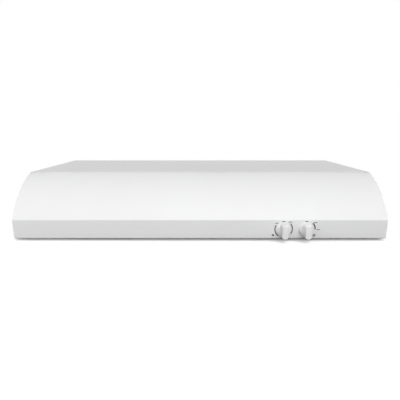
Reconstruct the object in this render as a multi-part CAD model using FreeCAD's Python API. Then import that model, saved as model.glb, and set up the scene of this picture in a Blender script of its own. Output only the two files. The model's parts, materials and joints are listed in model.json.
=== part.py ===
"""Under cabinet range hood, 36 inch: a bent sheet shell with a curved front, a centrifugal blower that
discharges to the rear, two lift-down grease filters, two lamps and two rotary controls.

Millimetres. X is to the right seen from the front, Y runs from the front to the wall, Z is up.
The origin is the centre of the four cabinet screw holes, on the top face.
"""

import FreeCAD, Part
import math
import os

Vector = FreeCAD.Vector

# ---------------------------------------------------------------- overall sizes
WIDTH = 911.2            # over the outside of the shell
DEPTH = 504.8            # front edge of the chin to the back face
HEIGHT = 149.2           # bottom rim to the top face
BACK_Y = 180.0           # back face, measured from the screw pattern's centre
CHIN_HEIGHT = 46.4       # flat band that carries the knobs
CHIN_LEAN = 4.0          # how far the chin's lower edge stands back
CURVE_RUN = 129.0        # chin's upper edge to the crease at the top, front to back
CURVE_RADIUS = 215.0     # of the curved front

# ---------------------------------------------------------------- sheet metal
SHEET = 0.8              # painted steel
BEND = 2.2               # outside radius of a visible bend
FLANGE = 14.0            # return flanges round the bottom rim and the back
SIDE_WRAP = 10.0         # flange of the front and top that laps over a side panel
TOP_TUCK = 18.0          # flange of the front that runs back under the top
SEAM = 1.2               # visible gap between the crease and the top panel
CLEAR = 0.3              # clearance where a piece only has to slip in

# ---------------------------------------------------------------- cabinet screws and knock-outs
SCREW_INSET = 49.2       # screw holes, in from each side of the shell
SCREW_SPAN_Y = 254.0
SCREW_HOLE_R = 3.25
POWER_HOLE_R = 11.1      # scored circle for a 7/8 inch conduit fitting
POWER_DROP = 32.0        # below the top face, on the back panel
POWER_INSET = 32.0       # in front of the back face, on the top panel
SCORE = 0.4              # depth of a scored line
SCORE_WIDTH = 0.9
TOP_OUTLET_Y = 96.0      # centre of the scored upward outlet

# ---------------------------------------------------------------- duct connection, 3 1/4 x 10 inch
DUCT_WIDTH = 252.4       # outside of the collar
DUCT_HEIGHT = 81.0
DUCT_LENGTH = 30.0       # how far the collar stands out behind the back
DUCT_WALL = 1.0
DUCT_FLANGE = 9.0
DUCT_DROP = 50.0         # centre of the outlet, below the top face
DAMPER_PIN_R = 1.5
DAMPER_PLATE = 0.6
DAMPER_PIN_DROP = 5.0    # hinge pin, below the collar's roof
DAMPER_SIDE = 1.2        # flap to collar wall
DAMPER_STOP = 4.0        # lip that the closed flap hangs against
DAMPER_FOLD = 3.0        # stiffening fold along the flap's lower edge
DAMPER_FOLD_INSET = 10.0 # fold, in from each end of the flap

# ---------------------------------------------------------------- underside
PAN_RISE = 8.0           # the lamp panel and the filters lie this far above the rim
PARTITION_GAP = 10.0     # lamp housing to the upright wall behind it
GROMMET_R = 7.0          # rubber ring where the wiring passes the upright wall
GROMMET_DROP = 62.0
GROMMET_FIT = 1.0        # cable to rubber ring

# ---------------------------------------------------------------- grease filters
FILTER_THICK = 9.0
FILTER_SKIN = 0.6
FILTER_RIM = 10.0        # width of the channel round a filter
FILTER_MIDDLE = 14.0     # gap between the two filters
STRIP_RISE = 3.5         # centre strip above the filters, clear of their swinging rear corners
STRIP_LAP = 8.0          # centre strip over each filter
FILTER_SIDE = 20.0       # gap between a filter and a side panel
FILTER_FRONT_GAP = 4.0   # filter to the upright wall in front of it
FILTER_REAR_GAP = 2.5    # hanging filter to the back panel's lower flange
FILTER_PIN_R = 2.0
FILTER_PIN_LENGTH = 5.0
FILTER_PIN_INSET = 6.0   # pivot pin, in from the filter's rear edge
MESH_PITCH = 12.0        # of the pleated core
MESH_SKIN = 0.4
PIN_FIT = 0.10           # radial, pin to bore
LATCH_WIDTH = 18.0
LATCH_PLATE = 1.2
LATCH_GRIP = 5.0         # finger edge, down from the latch plate
LATCH_BACK = 30.0        # latch plate, back from the filter's front edge
LATCH_SHORT = 1.0        # latch tongue to the upright wall in front of it

# ---------------------------------------------------------------- lamps
LAMP_X = 228.0
LAMP_FRONT = 28.0        # housing's front wall, behind the chin's upper edge
LAMP_DEPTH = 60.0
LAMP_LENGTH = 160.0
LAMP_HEIGHT = 54.0
LAMP_SHEET = 0.6
LAMP_FLANGE = 5.0
LENS_LAP = 4.0           # lens beyond the opening
LENS_WALL = 1.6
LENS_DROP = 4.6
LENS_GAP = 0.4           # lens to the panel above it
LENS_PIN_R = 1.5
KNUCKLE_R = 2.6
LUG = 1.2                # thickness of a pivot lug
SOCKET_R = 17.0
SOCKET_LENGTH = 38.0
BULB_R = 22.0
BULB_LENGTH = 76.0
BULB_BASE_R = 13.0
BULB_BASE_LENGTH = 26.0
BULB_GLASS = 1.0
BULB_NECK = 8.0

# ---------------------------------------------------------------- controls
FAN_KNOB_X = 203.4
LIGHT_KNOB_X = 258.4
KNOB_R = 16.8            # skirt
KNOB_LENGTH = 27.0       # overall, along the shaft
KNOB_GAP = 1.0           # skirt to chin
SKIRT = 4.0
GRIP_LENGTH = 34.6
GRIP_WIDTH = 16.4
GRIP_TAPER = 1.5         # each side, from skirt to face
BORE_DEPTH = 16.8        # D bore, from the skirt's foot
BORE_END_GAP = 1.0       # shaft end to the bottom of the bore
SHAFT_R = 3.0
SHAFT_FIT = 0.06
SHAFT_FLAT = 1.5         # flat of the D shaft, from its axis
BUSHING_R = 4.75
BUSHING_LENGTH = 5.0     # in front of the chin's inner face
SWITCH_SIZE = 26.0
SWITCH_DEPTH = 17.0
NUT_FLATS = 12.0
NUT_HEIGHT = 2.0
CLIP_SHEET = 0.4

# ---------------------------------------------------------------- blower
BLOWER_Y = 10.0
BLOWER_TOP = 8.0         # top plate of the scroll, below the hood's top face
SCROLL_HEIGHT = 84.0
WHEEL_R = 76.0
WHEEL_HEIGHT = 66.0
WHEEL_GAP = 6.0          # wheel to scroll at the cut-off
SCROLL_STEP = 20.0       # growth of the scroll's radius each quarter turn
SCROLL_FLANGE = 8.0
OUTLET_REACH = 92.0      # scroll's straight outlet, back from the wheel's axis
BLADES = 36
BLADE_DEPTH = 12.0
BLADE_THICK = 0.7
BLADE_LEAN = 35.0        # degrees from radial
WHEEL_PLATE = 1.0
WHEEL_RING = 3.0         # height of the ring round the open end
HUB_R = 8.0
HUB_HEIGHT = 12.0
INLET_R = 62.0
INLET_LIP = 6.0
STANDOFF_R = 4.0

# ---------------------------------------------------------------- motor
MOTOR_R = 44.0
STACK_HEIGHT = 26.0
STATOR_YOKE = 10.0
STATOR_BORE_R = 22.5
TEETH = 6
TOOTH_WIDTH = 12.0
ROTOR_R = 22.0
BELL_HEIGHT = 15.0
BELL_WALL = 2.0
VENT_R = 4.0             # cooling holes in the end brackets
VENT_REACH = 24.0        # of their centres, from the axis
AXLE_R = 3.175
AXLE_FIT = 0.05
BUSH_R = 7.0
BUSH_LENGTH = 6.0
COIL_HEIGHT = 8.0
COIL_R = 3.4
COIL_GAP = 0.5
BOLT_R = 2.0
ARM_WIDTH = 14.0
ARM_REACH = 80.0
BRACKET_PLATE = 1.5
GROMMET_HEIGHT = 8.0
MOUNT_GROMMET_R = 5.5

# ---------------------------------------------------------------- wiring
COVER_SIDE = 76.0        # wiring cover to the right side panel
COVER_WIDTH = 116.0
COVER_DEPTH = 60.0
COVER_DROP = 58.0
COVER_FLANGE = 8.0
COVER_SCREW_INSET = 20.0 # screws, in from each end of the cover
SUPPLY_R = 3.2
LEAD_R = 2.2
SUPPLY_INSET = 26.0      # switch cable's exit, in from the cover's right wall
GLAND_R = 5.0
GLAND_LENGTH = 8.0

# ---------------------------------------------------------------- screws
HEAD_R = 3.6
HEAD_HEIGHT = 2.2
SHANK_R = 1.7
HOLE_FIT = 0.2

# ---------------------------------------------------------------- places that follow from the sizes
HALF = WIDTH / 2
FRONT_Y = BACK_Y - DEPTH
RIM_Z = -HEIGHT
KINK_Z = RIM_Z + CHIN_HEIGHT
SKIN_Z = -SHEET                          # top of the sheets that lie under the top panel
CREASE_Y = FRONT_Y + CURVE_RUN
CHIN_FOOT_Y = FRONT_Y + CHIN_LEAN
CHIN_ANGLE = math.degrees(math.atan2(CHIN_LEAN, CHIN_HEIGHT))
SIDE_OUT = HALF - SHEET                  # side panel, outer face
SIDE_IN = SIDE_OUT - SHEET
BACK_IN = BACK_Y - SHEET
SCREW_SPAN_X = WIDTH - 2 * SCREW_INSET
COVER_RIGHT = SIDE_IN - COVER_SIDE
COVER_LEFT = COVER_RIGHT - COVER_WIDTH
POWER_X = (COVER_LEFT + COVER_RIGHT) / 2
GROMMET_X = COVER_RIGHT - SUPPLY_INSET   # the cable runs straight forward to the grommet
PAN_Z = RIM_Z + PAN_RISE
PAN_TOP = PAN_Z + SHEET
LAMP_FRONT_Y = FRONT_Y + LAMP_FRONT
LAMP_BACK_Y = LAMP_FRONT_Y + LAMP_DEPTH
LAMP_MID_Y = (LAMP_FRONT_Y + LAMP_BACK_Y) / 2
LAMP_MID_Z = PAN_TOP + LAMP_HEIGHT / 2
PARTITION_Y = LAMP_BACK_Y + PARTITION_GAP
FILTER_FRONT_Y = PARTITION_Y + SHEET + FILTER_FRONT_GAP
PIVOT_Y = BACK_Y - FLANGE - FILTER_REAR_GAP - FILTER_THICK / 2
FILTER_BACK_Y = PIVOT_Y + FILTER_PIN_INSET
FILTER_Z = PAN_Z
FILTER_TOP = FILTER_Z + FILTER_THICK
FILTER_INNER = FILTER_MIDDLE / 2
FILTER_OUTER = SIDE_IN - FILTER_SIDE
PIVOT_Z = FILTER_Z + FILTER_THICK / 2
OUTLET_Z = -DUCT_DROP
SCROLL_TOP = -BLOWER_TOP
SCROLL_BOTTOM = SCROLL_TOP - SCROLL_HEIGHT
SCROLL_R1 = WHEEL_R + WHEEL_GAP + SCROLL_STEP / 2
SCROLL_LEFT = -SCROLL_STEP / 2           # outlet's near wall, from the wheel's axis
SCROLL_RIGHT = SCROLL_R1 + 2.5 * SCROLL_STEP
BLOWER_X = -(SCROLL_LEFT + SCROLL_RIGHT) / 2
OUTLET_Y = BLOWER_Y + OUTLET_REACH
WHEEL_TOP = SCROLL_TOP - SHEET - WHEEL_GAP
WHEEL_BOTTOM = WHEEL_TOP - WHEEL_HEIGHT
BRACKET_TOP = SCROLL_BOTTOM - GROMMET_HEIGHT
STACK_Z = BRACKET_TOP + BELL_HEIGHT
UPPER_BELL_Z = STACK_Z + STACK_HEIGHT
MOTOR_TOP = UPPER_BELL_Z + BELL_HEIGHT
ARM_ANGLES = (90.0, 210.0, 330.0)
BOLT_ANGLES = (30.0, 150.0, 270.0)


# ================================================================ shape helpers
def box(x0, x1, y0, y1, z0, z1):
    """Block between two corners, in any order."""
    low = Vector(min(x0, x1), min(y0, y1), min(z0, z1))
    return Part.makeBox(abs(x1 - x0), abs(y1 - y0), abs(z1 - z0), low)


def rod(start, end, radius):
    """Cylinder from one point to another."""
    run = Vector(end) - Vector(start)
    return Part.makeCylinder(radius, run.Length, Vector(start), run)


def tube(start, end, outer, inner):
    """Ring or sleeve from one point to another."""
    run = Vector(end) - Vector(start)
    over = run * 0.1
    return rod(start, end, outer).cut(rod(Vector(start) - over, Vector(end) + over, inner))


def join(shapes):
    """One solid from pieces that touch or overlap."""
    shapes = list(shapes)
    whole = shapes[0].multiFuse(shapes[1:]) if len(shapes) > 1 else shapes[0]
    return whole.removeSplitter()


def plate(x0, x1, y0, y1, z0, z1, radius):
    """Flat plate with rounded corners in plan."""
    body = box(x0, x1, y0, y1, z0, z1)
    upright = [e for e in body.Edges if abs(e.tangentAt(e.FirstParameter).z) > 0.99]
    return body.makeFillet(radius, upright)


def mirrored(shape):
    """The other hand of a piece, across the hood's centre."""
    return shape.mirror(Vector(0, 0, 0), Vector(1, 0, 0))


def cable(points, radius):
    """Round lead along straight runs joined by tangent arcs, each as large as its runs allow."""
    at = [Vector(*p) for p in points]
    edges, last = [], at[0]
    for before, corner, after in zip(at, at[1:], at[2:]):
        back, ahead = before - corner, after - corner
        turn = math.pi - back.getAngle(ahead)
        trim = 0.45 * min(back.Length, ahead.Length)
        back.normalize()
        ahead.normalize()
        start, end = corner + back * trim, corner + ahead * trim
        reach = trim / math.tan(turn / 2)
        middle = (back + ahead).normalize()
        touch = corner + middle * (math.hypot(reach, trim) - reach)
        edges.append(Part.LineSegment(last, start).toShape())
        edges.append(Part.Arc(start, touch, end).toShape())
        last = end
    edges.append(Part.LineSegment(last, at[-1]).toShape())
    path = Part.Wire(edges)
    ring = Part.Wire(Part.makeCircle(radius, at[0], at[1] - at[0]))
    return path.makePipeShell([ring], True, False)


def screw(head, way, head_r, head_h, shank_r, shank):
    """Pan head screw. head is the point under the head, way the direction it is driven in."""
    way = Vector(way).normalize()
    under = Vector(head)
    top = Part.makeCylinder(head_r, head_h, under, way * -1)
    rim = [e for e in top.Edges if e.Length > 1 and (e.CenterOfMass - under).dot(way) < -head_h * 0.9]
    top = top.makeFillet(head_h * 0.45, rim[:1])
    cross = [
        Part.makeBox(head_r * 1.1, head_r * 0.24, head_h * 0.6, Vector(-head_r * 0.55, -head_r * 0.12, 0)),
        Part.makeBox(head_r * 0.24, head_r * 1.1, head_h * 0.6, Vector(-head_r * 0.12, -head_r * 0.55, 0)),
    ]
    turn = FreeCAD.Rotation(Vector(0, 0, 1), way)
    slot = Part.makeCompound(cross)
    slot.Placement = FreeCAD.Placement(under - way * head_h, turn)
    return top.cut(slot).fuse(Part.makeCylinder(shank_r, shank, under, way))


# ================================================================ the side profile
def curve_centre():
    """Centre of the curved front's arc, as (y, z)."""
    y0, z0, y1, z1 = FRONT_Y, KINK_Z, CREASE_Y, SKIN_Z
    chord = math.hypot(y1 - y0, z1 - z0)
    away = math.sqrt(CURVE_RADIUS ** 2 - chord ** 2 / 4)
    return (y0 + y1) / 2 + (z1 - z0) / chord * away, (z0 + z1) / 2 - (y1 - y0) / chord * away


def curve_z(y):
    """Height of the curved front's outer face at a distance from the front."""
    if y >= CREASE_Y:
        return SKIN_Z
    cy, cz = curve_centre()
    return cz + math.sqrt(CURVE_RADIUS ** 2 - (y - cy) ** 2)


def profile(inset, back):
    """Closed side outline of the shell, moved in by inset all round, as a face at x = 0."""
    cy, cz = curve_centre()
    foot, kink = Vector(0, CHIN_FOOT_Y, RIM_Z), Vector(0, FRONT_Y, KINK_Z)
    crease, top = Vector(0, CREASE_Y, SKIN_Z), Vector(0, back, SKIN_Z)
    low = Vector(0, back, RIM_Z)
    middle = (kink + crease) * 0.5 - Vector(0, cy, cz)
    middle = Vector(0, cy, cz) + middle.normalize() * CURVE_RADIUS
    wire = Part.Wire([
        Part.LineSegment(foot, kink).toShape(),
        Part.Arc(kink, middle, crease).toShape(),
        Part.LineSegment(crease, top).toShape(),
        Part.LineSegment(top, low).toShape(),
        Part.LineSegment(low, foot).toShape(),
    ])
    if inset:
        wire = wire.makeOffset2D(-inset, join=2)
    return Part.Face(wire)


def profile_solid(inset, back, half_width):
    face = profile(inset, back)
    face.translate(Vector(-half_width, 0, 0))
    return face.extrude(Vector(2 * half_width, 0, 0))


def bend_edges(body, inset):
    """The long edges of a profile solid at the foot, the chin's upper edge and the crease."""
    corners = [(CHIN_FOOT_Y, RIM_Z), (FRONT_Y, KINK_Z), (CREASE_Y, SKIN_Z)]
    found = []
    for edge in body.Edges:
        middle = edge.CenterOfMass
        if abs(edge.tangentAt(edge.FirstParameter).x) < 0.99:
            continue
        if any(math.hypot(middle.y - y, middle.z - z) < 2.5 * inset + 0.5 for y, z in corners):
            found.append(edge)
    return found


def rounded_profile(inset, back, half_width, radius):
    """Profile solid with its front bends and the edges beside them rounded."""
    body = profile_solid(inset, back, half_width)
    body = body.makeFillet(radius, bend_edges(body, inset))
    limit = CREASE_Y + 2 * BEND
    side = [
        e for e in body.Edges
        if abs(abs(e.CenterOfMass.x) - half_width) < 1e-6
        and e.BoundBox.YMax < limit + 1e-6
        and e.BoundBox.XLength < 1e-6
    ]
    return body.makeFillet(radius, side)


# ================================================================ shell
def front_panel():
    """Chin and curved front in one bent sheet, with its side flanges and its lower return."""
    outer = rounded_profile(0, BACK_Y, HALF, BEND)
    inner = rounded_profile(SHEET, BACK_Y, HALF - SHEET, BEND - SHEET)
    sheet = outer.cut(inner).common(box(-HALF, HALF, FRONT_Y, CREASE_Y, RIM_Z, 0))
    heart = profile_solid(SIDE_WRAP, BACK_Y, HALF)
    heart = join([heart, box(-HALF, HALF, CREASE_Y - 1, CREASE_Y, RIM_Z, SKIN_Z - SIDE_WRAP)])
    sheet = sheet.cut(heart)
    return_back = CHIN_FOOT_Y + FLANGE
    sheet = sheet.cut(box(-HALF, HALF, return_back, CREASE_Y, RIM_Z, RIM_Z + SIDE_WRAP))
    lip = box(-SIDE_IN, SIDE_IN, return_back - SHEET, return_back, RIM_Z, PAN_Z)
    tuck_half = SIDE_IN - FLANGE
    tuck = box(-tuck_half, tuck_half, CREASE_Y - SHEET, CREASE_Y + TOP_TUCK, SKIN_Z - SHEET, SKIN_Z)
    body = join([sheet, lip, tuck])
    for x in (FAN_KNOB_X, LIGHT_KNOB_X):
        body = body.cut(on_chin(rod((0, 0, -SHEET * 4), (0, 0, SHEET * 4), BUSHING_R + HOLE_FIT), x))
    return body


def top_panel():
    """Flat top with a side flange each side, screw holes and scored knock-outs."""
    front = CREASE_Y + SEAM
    outer = box(-HALF, HALF, front, BACK_Y, -SIDE_WRAP, 0)
    inner = box(-SIDE_OUT, SIDE_OUT, front - 1, BACK_Y + 1, -SIDE_WRAP - 1, -SHEET)
    outer = outer.makeFillet(BEND, long_edges(outer, 0))
    inner = inner.makeFillet(BEND - SHEET, long_edges(inner, -SHEET))
    body = outer.cut(inner)
    for x in (-SCREW_SPAN_X / 2, SCREW_SPAN_X / 2):
        for y in (-SCREW_SPAN_Y / 2, SCREW_SPAN_Y / 2):
            body = body.cut(rod((x, y, -SHEET * 2), (x, y, 1), SCREW_HOLE_R))
    half_w, half_h = DUCT_WIDTH / 2, DUCT_HEIGHT / 2
    scored = box(-half_w, half_w, TOP_OUTLET_Y - half_h, TOP_OUTLET_Y + half_h, -SCORE, 0)
    left_whole = box(-half_w + SCORE_WIDTH, half_w - SCORE_WIDTH,
                     TOP_OUTLET_Y - half_h + SCORE_WIDTH, TOP_OUTLET_Y + half_h - SCORE_WIDTH, -SCORE, 0)
    body = body.cut(scored.cut(left_whole))
    y = BACK_Y - POWER_INSET
    return body.cut(tube((POWER_X, y, -SCORE), (POWER_X, y, 0), POWER_HOLE_R, POWER_HOLE_R - SCORE_WIDTH))


def long_edges(body, z):
    """Edges along Y at a height."""
    return [
        e for e in body.Edges
        if abs(e.tangentAt(e.FirstParameter).y) > 0.99 and abs(e.CenterOfMass.z - z) < 1e-6
    ]


def under_top():
    """The space inside the top panel's bends, from front to back and down to the rim."""
    block = box(-SIDE_OUT, SIDE_OUT, FRONT_Y, BACK_Y + 1, RIM_Z, SKIN_Z)
    return block.makeFillet(BEND - SHEET, long_edges(block, SKIN_Z))


def side_panel():
    """Right side panel: flat sheet with a flange along the bottom and one under the top."""
    plan = profile(BEND + CLEAR, BACK_Y)
    plan.translate(Vector(SIDE_IN, 0, 0))
    body = plan.extrude(Vector(SHEET, 0, 0))
    body = body.common(box(0, HALF, FRONT_Y, BACK_Y - SHEET - CLEAR, RIM_Z, SKIN_Z))
    low_front = CHIN_FOOT_Y + FLANGE + CLEAR
    low_back = BACK_Y - FLANGE - CLEAR
    band = box(SIDE_IN, SIDE_OUT, low_front, BACK_Y, RIM_Z, RIM_Z + 2 * BEND)
    upper = box(SIDE_IN, SIDE_OUT, CREASE_Y + TOP_TUCK, BACK_Y, SKIN_Z - 2 * BEND, SKIN_Z)
    foot = box(SIDE_IN - FLANGE, SIDE_OUT, low_front, low_back, RIM_Z, RIM_Z + SHEET)
    lip = box(SIDE_IN - FLANGE, SIDE_IN - FLANGE + SHEET, low_front, low_back, RIM_Z, PAN_Z)
    weld = box(SIDE_IN - FLANGE, SIDE_OUT, CREASE_Y + TOP_TUCK, low_back, SKIN_Z - SHEET, SKIN_Z)
    return join([body, band, upper, foot, lip, weld]).common(under_top())


def back_panel():
    """Back sheet with flanges all round, the duct opening and a scored power entry."""
    wall = box(-SIDE_IN, SIDE_IN, BACK_IN, BACK_Y, RIM_Z, SKIN_Z)
    foot = box(-SIDE_IN, SIDE_IN, BACK_Y - FLANGE, BACK_Y, RIM_Z, RIM_Z + SHEET)
    shelf_half = SIDE_IN - FLANGE - CLEAR
    shelf = box(-shelf_half, shelf_half, BACK_Y - FLANGE, BACK_Y, SKIN_Z - SHEET, SKIN_Z)
    ears = [box(x, x - math.copysign(SHEET, x), BACK_Y - FLANGE, BACK_Y, RIM_Z, SKIN_Z - SHEET - CLEAR)
            for x in (-SIDE_IN, SIDE_IN)]
    body = join([wall, foot, shelf] + ears)
    half_w, half_h = DUCT_WIDTH / 2 - DUCT_WALL, DUCT_HEIGHT / 2 - DUCT_WALL
    body = body.cut(box(-half_w, half_w, BACK_IN - 1, BACK_Y + 1, OUTLET_Z - half_h, OUTLET_Z + half_h))
    body = body.cut(tube((POWER_X, BACK_Y - SCORE, -POWER_DROP), (POWER_X, BACK_Y, -POWER_DROP),
                         POWER_HOLE_R, POWER_HOLE_R - SCORE_WIDTH))
    for x, z in collar_holes():
        body = body.cut(rod((x, BACK_IN - 1, z), (x, BACK_Y + 1, z), SHANK_R + HOLE_FIT))
    x, _, z = ground_point()
    body = body.cut(rod((x, BACK_IN - 1, z), (x, BACK_Y + 1, z), SHANK_R + HOLE_FIT))
    return body.common(under_top())


def lamp_panel():
    """Underside behind the chin, bent up at the rear into the wall in front of the filters."""
    front = CHIN_FOOT_Y + FLANGE - 2 * SHEET
    floor = box(-SIDE_IN, SIDE_IN, front, PARTITION_Y + SHEET, PAN_Z, PAN_TOP)
    wall_top = curve_z(PARTITION_Y) - SIDE_WRAP - CLEAR
    wall = box(-SIDE_IN, SIDE_IN, PARTITION_Y, PARTITION_Y + SHEET, PAN_Z, wall_top)
    body = join([floor, wall])
    for side in (-1, 1):
        x0, x1 = side * LAMP_X - LAMP_LENGTH / 2, side * LAMP_X + LAMP_LENGTH / 2
        body = body.cut(box(x0, x1, LAMP_FRONT_Y, LAMP_BACK_Y, PAN_Z - 1, PAN_TOP + 1))
        lugs = [lens_lug(x) for x in (x0 - LENS_LAP - CLEAR - LUG, x1 + LENS_LAP + CLEAR)]
        body = join([body] + lugs)
    hole = rod((GROMMET_X, PARTITION_Y - 1, -GROMMET_DROP),
               (GROMMET_X, PARTITION_Y + SHEET + 1, -GROMMET_DROP), GROMMET_R)
    return body.cut(hole)


def lens_lug(x):
    """Small lug under the lamp panel that holds one end of a lens's hinge pin."""
    y, z = lens_axis()
    body = box(x, x + LUG, y - KNUCKLE_R, y + KNUCKLE_R, z, PAN_Z)
    body = body.fuse(rod((x, y, z), (x + LUG, y, z), KNUCKLE_R))
    return body.cut(rod((x - 1, y, z), (x + LUG + 1, y, z), LENS_PIN_R + PIN_FIT))


def filter_rail():
    """Rear rail with the lugs that the filters hang in, and the strip between the filters."""
    strip_z = FILTER_TOP + STRIP_RISE
    half_rail = SIDE_IN - SHEET
    upright = box(-half_rail, half_rail, BACK_IN - SHEET, BACK_IN, RIM_Z + SHEET, strip_z + SHEET)
    half = FILTER_INNER + STRIP_LAP
    strip = box(-half, half, PARTITION_Y + SHEET, BACK_IN, strip_z, strip_z + SHEET)
    bodies = [upright, strip]
    for x in lug_places():
        lug = box(x, x + LUG, PIVOT_Y, BACK_IN, PIVOT_Z - FILTER_THICK / 2, PIVOT_Z + FILTER_THICK / 2)
        lug = lug.fuse(rod((x, PIVOT_Y, PIVOT_Z), (x + LUG, PIVOT_Y, PIVOT_Z), FILTER_THICK / 2))
        bodies.append(lug)
    body = join(bodies)
    for x in lug_places():
        bore = rod((x - 1, PIVOT_Y, PIVOT_Z), (x + LUG + 1, PIVOT_Y, PIVOT_Z), FILTER_PIN_R + PIN_FIT)
        body = body.cut(bore)
    return body


def lug_places():
    """Left faces of the four filter lugs, two to each filter."""
    reach = FILTER_PIN_LENGTH / 2
    inner, outer = FILTER_INNER - reach, FILTER_OUTER + reach
    return [-outer - LUG / 2, -inner - LUG / 2, inner - LUG / 2, outer - LUG / 2]


# ================================================================ controls
def chin_point():
    """Point of the chin's outer face that the knobs are centred on, as (y, z)."""
    return (FRONT_Y + CHIN_FOOT_Y) / 2, (KINK_Z + RIM_Z) / 2


def on_chin(shape, x):
    """Place a shape made at the origin, its +Z standing straight out of the chin."""
    y, z = chin_point()
    placed = shape.copy()
    turn = FreeCAD.Rotation(Vector(1, 0, 0), 90 + CHIN_ANGLE)
    placed.transformShape(FreeCAD.Placement(Vector(x, y, z), turn).toMatrix())
    return placed


def d_rod(radius, flat, z0, z1):
    """Rod with a flat, along Z; the flat faces +Y."""
    return rod((0, 0, z0), (0, 0, z1), radius).cut(box(-radius, radius, flat, radius, z0, z1))


def knob():
    """Rotary knob: round skirt with a full length grip bar, on a D bore."""
    foot = KNOB_GAP
    face = foot + KNOB_LENGTH
    skirt = rod((0, 0, foot), (0, 0, foot + SKIRT), KNOB_R)
    skirt = skirt.makeFillet(1.2, [e for e in skirt.Edges if e.BoundBox.ZMin > foot + SKIRT - 0.1])
    top_w, low_w = GRIP_WIDTH / 2 - GRIP_TAPER, GRIP_WIDTH / 2
    half = GRIP_LENGTH / 2
    corners = [(-low_w, foot), (low_w, foot), (top_w, face), (-top_w, face)]
    ring = [Vector(x, -half, z) for x, z in corners]
    bar = Part.Face(Part.makePolygon(ring + ring[:1])).extrude(Vector(0, 2 * half, 0))
    bar = bar.common(Part.makeCone(half, half - GRIP_TAPER, KNOB_LENGTH, Vector(0, 0, foot)))
    bar = bar.makeFillet(1.4, [e for e in bar.Edges if e.BoundBox.ZMin > foot + SKIRT])
    body = join([skirt, bar])
    bore_end = foot + BORE_DEPTH
    bore = d_rod(SHAFT_R + SHAFT_FIT, SHAFT_FLAT + CLIP_SHEET + SHAFT_FIT, foot - 1, bore_end)
    nut_room = rod((0, 0, foot - 1), (0, 0, NUT_HEIGHT + CLEAR), NUT_FLATS / math.sqrt(3) + 2 * CLEAR)
    bushing_room = rod((0, 0, foot - 1), (0, 0, BUSHING_LENGTH + CLEAR), BUSHING_R + CLEAR)
    return body.cut(bore).cut(nut_room).cut(bushing_room)


def switch_shaft():
    """D shaft that turns in the switch and carries the knob."""
    back = -SHEET - SWITCH_DEPTH / 2
    tip = KNOB_GAP + BORE_DEPTH - BORE_END_GAP
    round_part = rod((0, 0, back), (0, 0, BUSHING_LENGTH), SHAFT_R)
    return join([round_part, d_rod(SHAFT_R, SHAFT_FLAT, BUSHING_LENGTH, tip)])


def knob_clip():
    """Leaf of spring steel between the shaft's flat and the knob."""
    start, end = BUSHING_LENGTH + CLEAR, KNOB_GAP + BORE_DEPTH - BORE_END_GAP
    width = math.sqrt(SHAFT_R ** 2 - (SHAFT_FLAT + CLIP_SHEET) ** 2) - 0.2
    return box(-width, width, SHAFT_FLAT, SHAFT_FLAT + CLIP_SHEET, start, end)


def switch_body():
    """Rotary switch behind the chin, with its threaded bushing and two terminals."""
    half = SWITCH_SIZE / 2
    back = -SHEET - SWITCH_DEPTH
    case = box(-half, half, -half, half, back, -SHEET)
    upright = [e for e in case.Edges if abs(e.tangentAt(e.FirstParameter).z) > 0.99]
    case = case.makeFillet(2.0, upright)
    bushing = rod((0, 0, -SHEET), (0, 0, BUSHING_LENGTH), BUSHING_R)
    body = join([case, bushing])
    bore = rod((0, 0, -SHEET - SWITCH_DEPTH / 2 - CLEAR), (0, 0, BUSHING_LENGTH + 1), SHAFT_R + SHAFT_FIT)
    return body.cut(bore)


def switch_nut():
    """Thin hexagon nut on the bushing, under the knob."""
    ring = [Vector(NUT_FLATS / math.sqrt(3) * math.cos(math.radians(60 * i)),
                   NUT_FLATS / math.sqrt(3) * math.sin(math.radians(60 * i)), 0) for i in range(6)]
    body = Part.Face(Part.makePolygon(ring + ring[:1])).extrude(Vector(0, 0, NUT_HEIGHT))
    return body.cut(rod((0, 0, -1), (0, 0, NUT_HEIGHT + 1), BUSHING_R))


# ================================================================ lamps, right hand side
def lamp_span():
    return LAMP_X - LAMP_LENGTH / 2, LAMP_X + LAMP_LENGTH / 2


def lamp_housing():
    """Open reflector box over the opening in the lamp panel, with a flange round its foot."""
    x0, x1 = lamp_span()
    t = LAMP_SHEET
    shell = box(x0 - t, x1 + t, LAMP_FRONT_Y - t, LAMP_BACK_Y + t, PAN_TOP, PAN_TOP + LAMP_HEIGHT)
    f = LAMP_FLANGE
    flange = box(x0 - f, x1 + f, LAMP_FRONT_Y - f, LAMP_BACK_Y + f, PAN_TOP, PAN_TOP + t)
    body = join([shell, flange])
    body = body.cut(box(x0, x1, LAMP_FRONT_Y, LAMP_BACK_Y, PAN_TOP - 1, PAN_TOP + LAMP_HEIGHT - t))
    entry = rod((x0 - 2 * t, LAMP_MID_Y, LAMP_MID_Z), (x0 + t, LAMP_MID_Y, LAMP_MID_Z), LEAD_R + HOLE_FIT)
    return body.cut(entry)


def lamp_socket():
    """Screw socket on the housing's inner end wall."""
    x0, _ = lamp_span()
    y, z = LAMP_MID_Y, LAMP_MID_Z
    body = rod((x0, y, z), (x0 + SOCKET_LENGTH, y, z), SOCKET_R)
    rim = [e for e in body.Edges if e.BoundBox.XMin > x0 + SOCKET_LENGTH - 0.1]
    body = body.makeFillet(1.5, rim)
    depth = BULB_BASE_LENGTH + 2
    bore = rod((x0 + SOCKET_LENGTH - depth, y, z), (x0 + SOCKET_LENGTH + 1, y, z), BULB_BASE_R + CLEAR)
    return body.cut(bore)


def bulb_start():
    """End of the bulb's base, deep in the socket."""
    return lamp_span()[0] + SOCKET_LENGTH - BULB_BASE_LENGTH


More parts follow.
